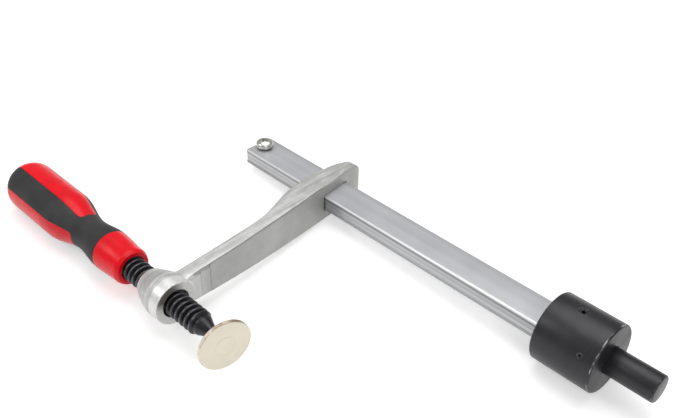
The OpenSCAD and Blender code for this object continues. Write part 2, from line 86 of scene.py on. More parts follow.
class RailSettings(bpy.types.PropertyGroup):
    edge: size("Edge rounding", "Rounding of the long edges", 1.3)
    corner: size("End rounding", "Rounding of the free end's edges", 0.5)
    flute_width: size("Flute width", "Width of the flute in each narrow face", 6)
    flute_depth: size("Flute depth", "Depth of that flute", 0.4)
    # Painted shade on the narrow faces: the place and width of its line along the flute here, its amount and
    # colour below
    shade_line_at: size("Dirt line place", "Height of the dirt line along the flute's upper edge", 3.3)
    shade_line_width: size("Dirt line width", "Half the width of that line", 1)
    colour: tint("Zinc", "Colour of the drawn and plated steel", (0.66, 0.665, 0.69))
    painted_shade: share("Painted shade", "Dirt on the whole of each narrow face", 0.45)
    side_shade_colour: tint("Dirt colour", "Colour of the dirt along the flute", (0.15, 0.155, 0.145))
    # Also the colour of the painted highlight along the upper rounded edges
    edge_colour: tint("Bright edge", "Colour of the rubbed long edges", (0.93, 0.93, 0.94))
    streak_colour: tint("Streaks", "Colour of the duller drawing streaks", (0.50, 0.505, 0.52))


class CollarSettings(bpy.types.PropertyGroup):
    chamfer: size("Chamfer", "Chamfer at both ends of the collar", 0.8)
    grub_at: size("Grub screw place", "Distance of the grub screw from the shoulder", 20)
    grub_diameter: size("Grub screw diameter", "Thread diameter of the grub screw", 5)
    grub_flare: size("Grub hole flare", "Widening at the mouth of the grub screw's hole", 0.5)
    pin_at: size("Pin place", "Distance of the pin from the shoulder", 8.8)
    pin_diameter: size("Pin diameter", "Diameter of the slotted pin", 2.5)
    pin_angle: turn("Pin angle", "Angle of the pin above the horizontal", 27)
    stud_diameter: size("Stud diameter", "Diameter of the stud", 15.8)
    stud_chamfer: size("Stud chamfer", "Chamfer at the stud's free end", 0.6)
    spigot_length: size("Spigot length", "Length of the stud's spigot inside the collar", 13)
    spigot_diameter: size("Spigot diameter", "Diameter of that spigot", 12)
    stud_seat: size("Stud seat", "Depth of the recess around the stud's root", 1)
    stud_relief: size("Stud relief", "Depth of the relief around the stud's root", 0.3)
    colour: tint("Burnished steel", "Colour of the blackened collar and stud", (0.028, 0.028, 0.032))
    worn_width: size("Worn line", "Half the width of the worn line around each chamfer", 0.45)
    worn_colour: tint("Worn steel", "Colour of bare steel on worn edges", (0.72, 0.72, 0.73))


class StopSettings(bpy.types.PropertyGroup):
    rim: size("Rim height", "Flat height of the pan head's rim", 1.5)
    shank: size("Shank diameter", "Thread diameter of the stop screw", 6)
    cross_width: size("Recess width", "Width across the cross recess", 6.2)
    cross_slot: size("Recess slot", "Thickness of the arms of the recess", 1.5)
    cross_depth: size("Recess depth", "Depth of the recess", 2.3)
    cross_turn: turn("Recess turn", "Turn of the recess about the screw's axis", 15)
    washer_gap: size("Washer gap", "Gap where the lock washer is split", 1)
    gap_turn: turn("Gap turn", "Turn of that gap about the screw's axis", -120)
    gap_slant: turn("Gap slant", "Slant of that gap", 25)
    colour: tint("Bright zinc", "Colour of the stop screw", (0.60, 0.61, 0.575))
    # Dark partly for the washer's own dull finish and partly as painted shade under the screw's head
    washer_colour: tint("Lock washer", "Colour of the darker lock washer", (0.10, 0.10, 0.10))


class ArmSettings(bpy.types.PropertyGroup):
    lean: size("Lean", "Distance that the arm's tip leans forward of its head", 10)
    tip_depth: size("Tip depth", "Depth of the arm near its tip", 10.4)
    tip_height: size("Tip height", "Height of the arm at its tip", 18.2)
    swell: size("Swell", "Extra height halfway along the arm, above and below", 0.5)
    head_length: size("Head length", "Length of the head along the rail", 15.8)
    head_height: size("Head height", "Height of the head", 26)
    head_round: size("Head rounding", "Length of the head's rounded far end", 11.5)
    head_taper: size("Head taper", "Depth that the head loses at the back before its far end", 3.6)
    head_crown: share("Head crown", "Share of its height that the head's far end loses", 0.85)
    flare_from: size("Flare start", "Distance from the rail at which the arm starts to widen", 62)
    flare_to: size("Flare end", "Distance from the rail at which it is fully wide", 16)
    front_edge: size("Front edges", "Rounding of the front edges at the tip", 0.8)
    back_edge: size("Back edges", "Rounding of the back edges at the tip", 2.7)
    boss_length: size("Boss length", "Length of the round boss", 25)
    boss_diameter: size("Boss diameter", "Largest diameter of the boss", 27)
    boss_back: size("Boss back", "Diameter of the boss's back face", 18.8)
    boss_round: size("Boss rounding", "Rounding of the boss's back edge", 2)
    boss_face: size("Boss face", "Diameter of the boss's front face", 26.4)
    boss_cone: size("Boss band", "Length of the turned band behind the front face", 7.6)
    mouth: size("Mouth", "Diameter of the countersink in front", 17.4)
    mouth_depth: size("Mouth depth", "Depth of that countersink", 0.8)
    bore: size("Bore", "Diameter of the bore around the thread", 15.7)
    slot_gap: size("Slot gap", "Gap between the rail and the slot", 0.4)
    step_height: size("Step height", "Height of each step in the front face beside the boss", 0.6)
    step_at: size("Step place", "Distance from the spindle to the first step", 19.7)
    step_length: size("Step length", "Distance between the two steps", 7)
    voxel: size("Skin step", "Step of the mesh that blends the casting's parts", 0.45)
    junction: size("Junction", "Reach of the soft junction between the boss and the arm", 4)
    skin_depth: size("Skin roughness", "Depth of the casting's uneven skin", 0.3)
    skin_scale: size("Skin scale", "Size of the bumps in that skin", 6)
    # Painted shade on the arm's front and in the boss's crease, the painted dark crescent on the boss's face
    # and painted shade in the bore
    shade_width: size("Soot width", "Half the width of the sooty lines", 0.6)
    crescent_wander: size("Oil edge", "How far the edge of the oily crescent wanders", 8)
    bore_shade_colour: tint("Bore", "Colour of the dark bore", (0.07, 0.062, 0.05))
    crescent_colour: tint("Dark crescent", "Colour of the oily crescent on the boss's face", (0.115, 0.10, 0.08))
    arm_shade_colour: tint("Arm shade", "Colour of the dirt along the front edges and the steps", (0.16, 0.16, 0.15))
    colour: tint("Casting", "Colour of the plated casting", (0.475, 0.475, 0.462))
    # Also paints sheen on the arm and a highlight on the boss's turned band
    sheen_and_wear_colour: tint("Rubbed and lit casting", "Colour where the casting is rubbed brighter", (0.84, 0.84, 0.83))


class SpindleSettings(bpy.types.PropertyGroup):
    diameter: size("Thread diameter", "Outer diameter of the thread", 15)
    pitch: size("Pitch", "Pitch of the thread", 4)
    depth: size("Thread depth", "Depth of the thread", 2.2)
    thread_length: size("Thread length", "Length of the threaded stretch", 66)
    shank: size("Shank", "Diameter of the shank inside the handle", 9)
    nose: size("Nose diameter", "Diameter of the plain nose", 12)
    nose_length: size("Nose length", "Length of the plain nose", 1.2)
    cone: size("Cone length", "Length of the cone", 7.6)
    neck: size("Neck diameter", "Diameter of the neck behind the ball", 5.4)
    neck_length: size("Neck length", "Length of that neck", 1.6)
    ball: size("Ball", "Diameter of the ball at the end", 9)
    ball_at: size("Ball place", "Distance from the shoulder back to the ball's centre", 150.6)
    phase: turn("Thread phase", "Turn of the thread about its axis, at rest", 0)
    colour: tint("Black spindle", "Colour of the blackened thread", (0.035, 0.035, 0.04))
    # Colour of the painted highlight on the crests
    crest_highlight_colour: tint("Crests", "Colour where the crests are rubbed", (0.10, 0.10, 0.105))


class HandleSettings(bpy.types.PropertyGroup):
    length: size("Length", "Length of the handle", 127)
    diameter: size("Belly diameter", "Largest diameter", 32.4)
    waist: size("Waist diameter", "Diameter at the waist", 21.2)
    swell: size("Swell diameter", "Diameter of the front swell", 25.4)
    brow: size("Brow diameter", "Diameter where the front swell starts to round off", 23)
    front: size("Front diameter", "Diameter of the front end", 20.4)
    brow_at: size("Brow place", "Distance from the front end to the brow", 3)
    swell_at: size("Swell place", "Distance from the front end to the swell", 23)
    waist_at: size("Waist place", "Distance from the front end to the waist", 43)
    belly_at: size("Belly place", "Distance from the front end to the belly", 73)
    dome: size("Butt", "Length of the rounded butt", 14)
    grip_wall: size("Grip thickness", "Thickness of the soft grip", 2.2)
    grip_at: size("Grip place", "Distance from the front end to the grip", 22.5)
    window_at: size("Window place", "Distance from the front end to the windows", 49)
    window_butt: size("Window end", "Distance from the windows' far ends to the butt", 2.4)
    window_span: turn("Window span", "Angle that each window spans", 63)
    window_turn: turn("Window turn", "Angle of the first window's middle, from -Y up", 107.5)
    window_corner: size("Window corner", "Rounding of the windows' front corners", 3)
    seam: size("Seam", "Depth and half width of the seam between core and grip", 0.22)
    opening: size("Opening", "Diameter of the opening around the thread", 15.9)
    opening_behind: size("Opening depth", "Distance that the opening reaches behind the thread", 16)
    core_colour: tint("Core", "Colour of the hard core", (0.80, 0.002, 0.012))
    core_edge: tint("Core edges", "Colour of the core's rubbed edges", (0.9, 0.16, 0.17))
    grip_colour: tint("Grip", "Colour of the soft grip", (0.026, 0.026, 0.026))


class PlateSettings(bpy.types.PropertyGroup):
    diameter: size("Diameter", "Diameter of the pressure plate", 30.6)
    rim: size("Rim", "Thickness of the rim", 2.6)
    chamfer: size("Chamfer", "Chamfer around the face", 0.4)
    face_at: size("Face place", "Distance from the ball's centre to the face", 7)
    hub: size("Hub", "Diameter of the hub behind the plate", 13.2)
    hub_back: size("Hub back", "Diameter of the hub's back end", 11)
    hub_root: size("Hub root", "Chamfer where the hub meets the plate", 0.5)
    socket: size("Socket", "Diameter of the hollow inside the hub", 11)
    mouth: turn("Mouth", "Angle of the hub's mouth, seen from the ball", 52)
    swing: turn("Swing", "Turn of the plate as it lies, towards -Y", 10)
    mark: size("Ring mark", "Diameter of the groove in the face", 12)
    mark_width: size("Ring mark width", "Width of that groove", 0.8)
    mark_depth: size("Ring mark depth", "Depth of that groove", 0.12)
    mark_wall: size("Ring mark walls", "Width of that groove's sloping walls", 0.15)
    colour: tint("Nickel", "Colour of the plated face", (0.74, 0.68, 0.565))
    rim_colour: tint("Rim", "Colour of the darker patches on the rim", (0.36, 0.27, 0.19))
    edge_colour: tint("Edges", "Colour of the plate's worn edges", (0.86, 0.80, 0.70))


class StageSettings(bpy.types.PropertyGroup):
    camera_at: bpy.props.FloatVectorProperty(
        name="Camera place", description="Where the camera stands", default=(0.1289, -0.33055, 0.32767),
        size=3, subtype="TRANSLATION", unit="LENGTH"
    )
    camera_turn: bpy.props.FloatVectorProperty(
        name="Camera turn", description="How the camera is turned",
        default=(math.radians(54.1117), math.radians(-0.9875), math.radians(45.3205)),
        size=3, subtype="EULER"
    )
    lens: bpy.props.FloatProperty(
        name="Lens", description="Focal length of the camera", default=47.0576, unit="CAMERA"
    )
    handle_rest: size("Handle contact", "Distance from its front end to where it touches the floor", 85)
    head_rest: size("Head contact", "Depth below the rail's middle where the head touches the floor", 12)
    head_inset: size("Head contact inset", "Distance of that place from the head's back and far end", 5)
    floor_gap: size("Floor gap", "Air between the clamp and the floor", 0.1)
    floor_size: size("Floor", "Half the width of the floor", 6000)
    floor_shade: share("Floor shade", "Albedo of the floor", 0.8)
    floor_lift: share("Floor lift", "Light that the floor adds for the camera and reflections alone", 0.42)
    world_shade: share("Surround", "Strength of the surrounding light", 0.38)


SETTINGS = {
    "clamp_rail": RailSettings,
    "clamp_collar": CollarSettings,
    "clamp_stop": StopSettings,
    "clamp_arm": ArmSettings,
    "clamp_spindle": SpindleSettings,
    "clamp_handle": HandleSettings,
    "clamp_plate": PlateSettings,
    "clamp_stage": StageSettings,
}


# Places taken from the frame

AXIS_Y = sum(corner.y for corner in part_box("spindle")) / 2
AXIS = Vector((0, AXIS_Y, 0))
RAIL_LOW, RAIL_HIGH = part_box("rail")
COLLAR_LOW, COLLAR_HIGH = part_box("collar")
STUD_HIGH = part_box("stud")[1]
ARM_LOW, ARM_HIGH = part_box("sliding_arm")
SPINDLE_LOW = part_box("spindle")[0]
HANDLE_LOW, HANDLE_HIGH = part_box("handle_core")
SCREW_LOW, SCREW_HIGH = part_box("end_stop_screw")
WASHER_LOW, WASHER_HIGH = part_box("end_stop_washer")
STOP_X = (SCREW_LOW.x + SCREW_HIGH.x) / 2


# Modelling helpers

def ease(u):
    """Runs smoothly from 0 to 1."""
    return (1 - math.cos(math.pi * min(max(u, 0), 1))) / 2


def mix(a, b, u):
    return a + (b - a) * u


def deselect():
    if bpy.context.mode != "OBJECT":
        bpy.ops.object.mode_set(mode="OBJECT")
    bpy.ops.object.select_all(action="DESELECT")


def activate(piece):
    deselect()
    piece.select_set(True)
    bpy.context.view_layer.objects.active = piece


def named(name):
    piece = bpy.context.object
    piece.name = name
    piece.data.name = name
    return piece


def settle(piece, place=None):
    """Puts the object at the origin, with its place in its mesh, after moving it where one is given."""
    if place is not None:
        piece.matrix_world = place
    activate(piece)
    bpy.ops.object.transform_apply(location=True, rotation=True, scale=True)


def edit_all(piece, mode="VERT"):
    """Enters edit mode with the whole mesh selected."""
    activate(piece)
    bpy.ops.object.mode_set(mode="EDIT")
    bpy.ops.mesh.select_mode(type=mode)
    bpy.ops.mesh.select_all(action="SELECT")


def bisect(piece, point, normal, **values):
    edit_all(piece)
    bpy.ops.mesh.bisect(plane_co=point, plane_no=normal, **values)
    deselect()


def close_up(piece, merge=NEAR):
    """Merges doubled vertices and turns the faces outwards."""
    edit_all(piece)
    bpy.ops.mesh.remove_doubles(threshold=merge)
    bpy.ops.mesh.normals_make_consistent(inside=False)
    deselect()


def select(piece, mode, test):
    """Selects the vertices, edges or faces that pass the test, in edit mode."""
    edit_all(piece, mode)
    bpy.ops.mesh.select_all(action="DESELECT")
    bpy.ops.object.mode_set(mode="OBJECT")
    mesh = piece.data
    items = {"VERT": mesh.vertices, "EDGE": mesh.edges, "FACE": mesh.polygons}[mode]
    for item in items:
        if mode == "VERT":
            item.select = test(item.co)
        elif mode == "EDGE":
            a, b = (mesh.vertices[i].co for i in item.vertices)
            item.select = test(a, b)
        else:
            item.select = test(item.center)
    bpy.ops.object.mode_set(mode="EDIT")


def shape(piece, mode, test, operator, **values):
    """Runs an edit mode operator on what passes the test."""
    select(piece, mode, test)
    operator(**values)
    deselect()


def extrude(x, y, z):
    bpy.ops.mesh.extrude_region_move(TRANSFORM_OT_translate={"value": (x, y, z)})


def modify(piece, kind, **values):
    """Adds a modifier and applies it at once."""
    activate(piece)
    modifier = piece.modifiers.new(kind, kind)
    for key, value in values.items():
        setattr(modifier, key, value)
    bpy.ops.object.modifier_apply(modifier=modifier.name)


def combine(piece, other, operation="UNION"):
    """Boolean with another mesh, which is used up."""
    modify(piece, "BOOLEAN", operation=operation, object=other, solver="EXACT")
    bpy.data.meshes.remove(other.data)


def cut(piece, *cutters):
    for cutter in cutters:
        combine(piece, cutter, "DIFFERENCE")


def round_edges(piece, width, degrees=30, segments=2):
    modify(piece, "BEVEL", width=width, segments=segments, limit_method="ANGLE",
           angle_limit=math.radians(degrees))


def block(name, low, high):
    deselect()
    low, high = Vector(low), Vector(high)
    bpy.ops.mesh.primitive_cube_add(size=1, location=(low + high) / 2, scale=high - low)
    piece = named(name)
    settle(piece)
    return piece


def rod(name, low, high, diameter, sides=96):
    """Cylinder between two points."""
    deselect()
    low, high = Vector(low), Vector(high)
    along = high - low
    bpy.ops.mesh.primitive_cylinder_add(
        vertices=sides, radius=diameter / 2, depth=along.length, location=(low + high) / 2,
        rotation=along.to_track_quat("Z", "Y").to_euler()
    )
    piece = named(name)
    settle(piece)
    return piece


def ball(name, centre, radius, flatten=1.0, tilt=0.0):
    """Sphere, flattened between its poles and tilted about Y."""
    deselect()
    bpy.ops.mesh.primitive_uv_sphere_add(
        segments=64, ring_count=32, radius=radius, location=centre, rotation=(0, tilt, 0)
    )
    piece = named(name)
    piece.scale.z = flatten
    settle(piece)
    return piece


def turned(name, stations, y=0.0, sides=96):
    """Turned body along X: a ring is extruded from one (x, radius) station to the next."""
    deselect()
    x, radius = stations[0]
    bpy.ops.mesh.primitive_circle_add(
        vertices=sides, radius=radius, fill_type="NGON", location=(x, y, 0), rotation=(0, QUARTER_TURN, 0)
    )
    piece = named(name)
    settle(piece)
    edit_all(piece)
    for next_x, next_radius in stations[1:]:
        extrude(next_x - x, 0, 0)
        grow = next_radius / radius
        bpy.ops.transform.resize(value=(1, grow, grow), center_override=(next_x, y, 0))
        x, radius = next_x, next_radius
    close_up(piece)
    return piece


def placed(point, angle, axis):
    """The move to a point, after a turn about an axis."""
    return Matrix.Translation(point) @ Matrix.Rotation(angle, 4, axis)


def give_material(piece, material):
    piece.data.materials.clear()
    piece.data.materials.append(material)


def finish_piece(piece, material, body, node, degrees=30):
    """Smooths a piece, gives it its finish, and says which body it rides on and which solid it replaces."""
    activate(piece)
    bpy.ops.object.shade_smooth_by_angle(angle=math.radians(degrees))
    give_material(piece, material)
    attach(piece, body)
    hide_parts(node)


# Material helpers

def toned(colour, *factors):
    """The colour times one factor, or times one for each of its channels."""
    factors = factors if len(factors) == 3 else factors * 3
    return tuple(min(1, channel * factor) for channel, factor in zip(colour, factors))


class Nodes:
    """A node tree being built. Each method adds a node and returns the socket that it puts out.
    An input may be another node's socket, which is linked, or a plain value, which is set."""

    def __init__(self, tree):
        self.tree = tree

    def join(self, socket, value):
        if isinstance(value, bpy.types.NodeSocket):
            self.tree.links.new(value, socket)
        elif socket.type == "RGBA":
            socket.default_value = (*value, 1)
        else:
            socket.default_value = value

    def add(self, kind, *values, operation=None, **inputs):
        """Adds a node with its inputs given in order or by name, and returns all that it puts out."""
        node = self.tree.nodes.new(kind)
        if operation:
            node.operation = operation
        for key, value in (*enumerate(values), *inputs.items()):
            self.join(node.inputs[key], value)
        return node.outputs

    def math(self, operation, *values):
        return self.add("ShaderNodeMath", *values, operation=operation)[0]

    def vector(self, operation, *values):
        return self.add("ShaderNodeVectorMath", *values, operation=operation)[0]

    def times(self, *values):
        out = values[0]
        for value in values[1:]:
            out = self.math("MULTIPLY", out, value)
        return out

    def plus(self, *values):
        out = values[0]
        for value in values[1:]:
            out = self.math("ADD", out, value)
        return out

    def blend(self, amount, first, second):
        """Mixes two colours."""
        node = self.tree.nodes.new("ShaderNodeMix")
        node.data_type = "RGBA"
        for index, value in ((0, amount), (6, first), (7, second)):
            self.join(node.inputs[index], value)
        return node.outputs[2]

    def spread(self, value, low, high, out_low=0.0, out_high=1.0):
        """Maps a value from one range to another, clamped."""
        return self.add("ShaderNodeMapRange", value, low, high, out_low, out_high)[0]

    def place(self):
        return self.add("ShaderNodeTexCoord")["Object"]

    def stretched(self, stretch):
        """The place with its axes stretched, for patterns that run along one axis."""
        return self.vector("MULTIPLY", self.place(), stretch)

    def coordinate(self, axis):
        """The place along one axis."""
        return self.add("ShaderNodeSeparateXYZ", Vector=self.place())[axis]

    def facing(self, axis):
        """How far the surface faces along one axis."""
        normal = self.add("ShaderNodeNewGeometry")["Normal"]
        return self.add("ShaderNodeSeparateXYZ", Vector=normal)[axis]

    def distance(self, point, along):
        """Distance from the axis that runs through a point."""
        away = self.vector("CROSS_PRODUCT", self.vector("SUBTRACT", self.place(), point), along)
        return self.add("ShaderNodeVectorMath", away, operation="LENGTH")["Value"]

    def line(self, value, middle, half_width):
        """Mask that is 1 in the middle of a line and fades out towards its sides."""
        away = self.math("ABSOLUTE", self.math("SUBTRACT", value, middle))
        return self.spread(away, half_width * 0.3, half_width, 1, 0)

    def noise(self, place, scale, detail=3.0, roughness=0.55):
        inputs = {"Vector": place, "Scale": scale, "Detail": detail, "Roughness": roughness}
        return self.add("ShaderNodeTexNoise", **inputs)["Fac"]

    def worn(self, base, colour, width, amount):
        """The colour with worn edges over it."""
        return self.blend(self.group("Edge wear", Width=width, Amount=amount)["Mask"], base, colour)

    def group(self, name, **values):
        """Places a shared node group, which is built when it is first used."""
        if name not in GROUPS:
            GROUPS[name] = GROUP_MAKERS[name](name)
        node = self.tree.nodes.new("ShaderNodeGroup")
        node.node_tree = GROUPS[name]
        for key, value in values.items():
            node.inputs[key].default_value = value
        return node.outputs


class Finish(Nodes):
    """A new material, built around its Principled shader."""

    def __init__(self, name):
        self.material = bpy.data.materials.new(name)
        self.material.use_nodes = True
        super().__init__(self.material.node_tree)

    def close(self, base, rough, height, strength, depth, plain):
        """Feeds colour, roughness and bump to the shader, sets its plain values and returns the material."""
        bump = self.add("ShaderNodeBump", Height=height, Strength=strength, Distance=depth)
        inputs = {"Base Color": base, "Roughness": rough, "Normal": bump["Normal"], **plain}
        for name, value in inputs.items():
            self.join(self.tree.nodes["Principled BSDF"].inputs[name], value)
        return self.material


def new_group(name, inputs, outputs):
    """A shader node group with named inputs, which have these defaults, and named outputs."""
    group = bpy.data.node_groups.new(name, "ShaderNodeTree")
    for socket, default in inputs.items():
        kind = "NodeSocketVector" if isinstance(default, tuple) else "NodeSocketFloat"
        group.interface.new_socket(name=socket, in_out="INPUT", socket_type=kind).default_value = default
    for socket in outputs:
        group.interface.new_socket(name=socket, in_out="OUTPUT", socket_type="NodeSocketFloat")
    start = group.nodes.new("NodeGroupInput")
    end = group.nodes.new("NodeGroupOutput")
    return group, Nodes(group), start.outputs, end.inputs


def make_edge_wear(name):
    """Mask of worn convex edges, broken up by noise."""
    inputs = {"Width": 0.6 * MM, "Amount": 0.6, "Stretch": (1, 1, 1)}
    group, n, given, result = new_group(name, inputs, ("Mask", "Edge"))
    rounded = group.nodes.new("ShaderNodeBevel")
    rounded.samples = 6
    n.join(rounded.inputs["Radius"], given["Width"])
    normal = n.add("ShaderNodeNewGeometry")["Normal"]
    dot = n.add("ShaderNodeVectorMath", rounded.outputs[0], normal, operation="DOT_PRODUCT")
    edge = n.spread(dot["Value"], 0.995, 0.90)
    patches = n.spread(n.noise(n.stretched(given["Stretch"]), 900, 4), 0.38, 0.62)
    n.join(result["Mask"], n.times(edge, patches, given["Amount"]))
    n.join(result["Edge"], edge)
    return group


def make_streaks(name):
    """Streaks along one axis: fine lines and broad bands."""
    inputs = {"Stretch": (0.02, 1, 1), "Fine": 2500.0, "Broad": 160.0}
    group, n, given, result = new_group(name, inputs, ("Lines", "Bands"))
    along = n.stretched(given["Stretch"])
    n.join(result["Lines"], n.noise(along, given["Fine"], 4, 0.5))
    n.join(result["Bands"], n.noise(along, given["Broad"], 3, 0.5))
    return group


def make_turning_marks(name):
    """Rings left by turning on a lathe about X, slightly broken around the turn."""
    group, n, given, result = new_group(name, {"Scale": 3000.0}, ("Rings", "Broad"))
    n.join(result["Rings"], n.noise(n.stretched((1, 0.02, 0.02)), given["Scale"], 3, 0.5))
    n.join(result["Broad"], n.noise(n.stretched((1, 0.35, 0.35)), 220))
    return group


def make_grain(name):
    """Fine grain and slow patches that break up a plain surface."""
    group, n, given, result = new_group(name, {"Fine": 1500.0, "Patches": 60.0}, ("Grain", "Patches"))
    n.join(result["Grain"], n.noise(n.place(), given["Fine"], 5, 0.5))
    n.join(result["Patches"], n.noise(n.place(), given["Patches"], 4, 0.5))
    return group


GROUP_MAKERS = {
    "Edge wear": make_edge_wear,
    "Streaks": make_streaks,
    "Turning marks": make_turning_marks,
    "Grain": make_grain,
}
GROUPS = {}


# Materials

def drawn_zinc(s):
    """Drawn bar, plated: streaks along X, dull patches, worn edges, a painted highlight along the upper
    rounded edges and painted shade on the narrow faces, in lines along the flutes and darker towards the
    bottom.
    """
    n = Finish("Drawn zinc steel")
    streaks = n.group("Streaks", Stretch=(0.012, 1, 1), Fine=2200, Broad=150)
    grain = n.group("Grain", Fine=2600, Patches=45)
    wear = n.group("Edge wear", Width=0.7 * MM, Amount=0.6, Stretch=(0.02, 1, 1))
    base = n.blend(n.spread(streaks["Bands"], 0.38, 0.66), s.colour, s.streak_colour)
    base = n.blend(n.spread(streaks["Lines"], 0.3, 0.7, 0, 0.28), base, s.streak_colour)
    base = n.blend(wear["Mask"], base, s.edge_colour)

    # Painted shade on the narrow faces: a line along the flute's upper edge, a fainter line along its middle,
    # darker towards the bottom and an even share over the whole face
    side, height = n.math("ABSOLUTE", n.coordinate("Y")), n.coordinate("Z")
    flute_floor = RAIL_HIGH.y - s.flute_depth
    narrow_face = n.spread(side, flute_floor - 0.2 * MM, flute_floor - 0.05 * MM)
    flute_edge = n.times(n.line(height, s.shade_line_at, s.shade_line_width), 0.75)
    flute_middle = n.times(n.line(height, 0, s.shade_line_width * 0.5), 0.35)
    lower_edge = n.spread(height, -s.shade_line_at + s.shade_line_width, -s.shade_line_at - s.shade_line_width, 0, 0.5)
    painted_shade = n.plus(flute_edge, flute_middle, lower_edge, s.painted_shade)
    painted_shade = n.times(painted_shade, n.spread(streaks["Bands"], 0.3, 0.6, 0.7, 1))
    base = n.blend(n.times(n.math("MINIMUM", painted_shade, 1), narrow_face), base, s.side_shade_colour)
    # Painted highlight along the upper rounded edges, where they face halfway up
    above = n.spread(height, RAIL_HIGH.z - s.edge - 0.4 * MM, RAIL_HIGH.z - s.edge, 0, 0.8)
    base = n.blend(n.times(n.line(n.facing("Z"), 0.6, 0.38), above), base, s.edge_colour)

    rough = n.spread(n.plus(streaks["Bands"], grain["Patches"]), 0.7, 1.3, 0.30, 0.46)
    relief = n.plus(streaks["Lines"], n.times(grain["Grain"], 0.5))
    return n.close(base, rough, relief, 0.12, 0.06 * MM, {"Metallic": 0.6})


def burnished_steel(name, s, tone, ring_scale, wear_amount, worn_at=None):
    """Turned and blackened steel, darker at a tone under 1: lathe rings, cloudy oil patches and worn
    edges. A chamfer at worn_at has a broken worn line around it."""
    colour = toned(s.colour, tone)
    n = Finish(name)
    marks = n.group("Turning marks", Scale=ring_scale)
    grain = n.group("Grain", Fine=1800, Patches=80)
    base = n.blend(n.spread(marks["Broad"], 0.35, 0.65), toned(colour, 0.85), colour)
    base = n.blend(n.spread(marks["Rings"], 0.4, 0.75, 0, 0.6), base, toned(colour, 1.35))
    base = n.worn(base, s.worn_colour, 0.8 * MM, wear_amount)
    if worn_at is not None:
        broken = n.spread(n.noise(n.stretched((2, 0.5, 0.5)), 260, 4), 0.47, 0.58)
        line = n.times(n.line(n.coordinate("X"), worn_at, s.worn_width), 0.6, broken)
        base = n.blend(line, base, s.worn_colour)
    rough = n.spread(n.plus(marks["Rings"], grain["Patches"]), 0.7, 1.3, 0.32, 0.46)
    relief = n.plus(marks["Rings"], n.times(grain["Grain"], 0.4))
    return n.close(base, rough, relief, 0.14, 0.06 * MM, {"Metallic": 0.5})


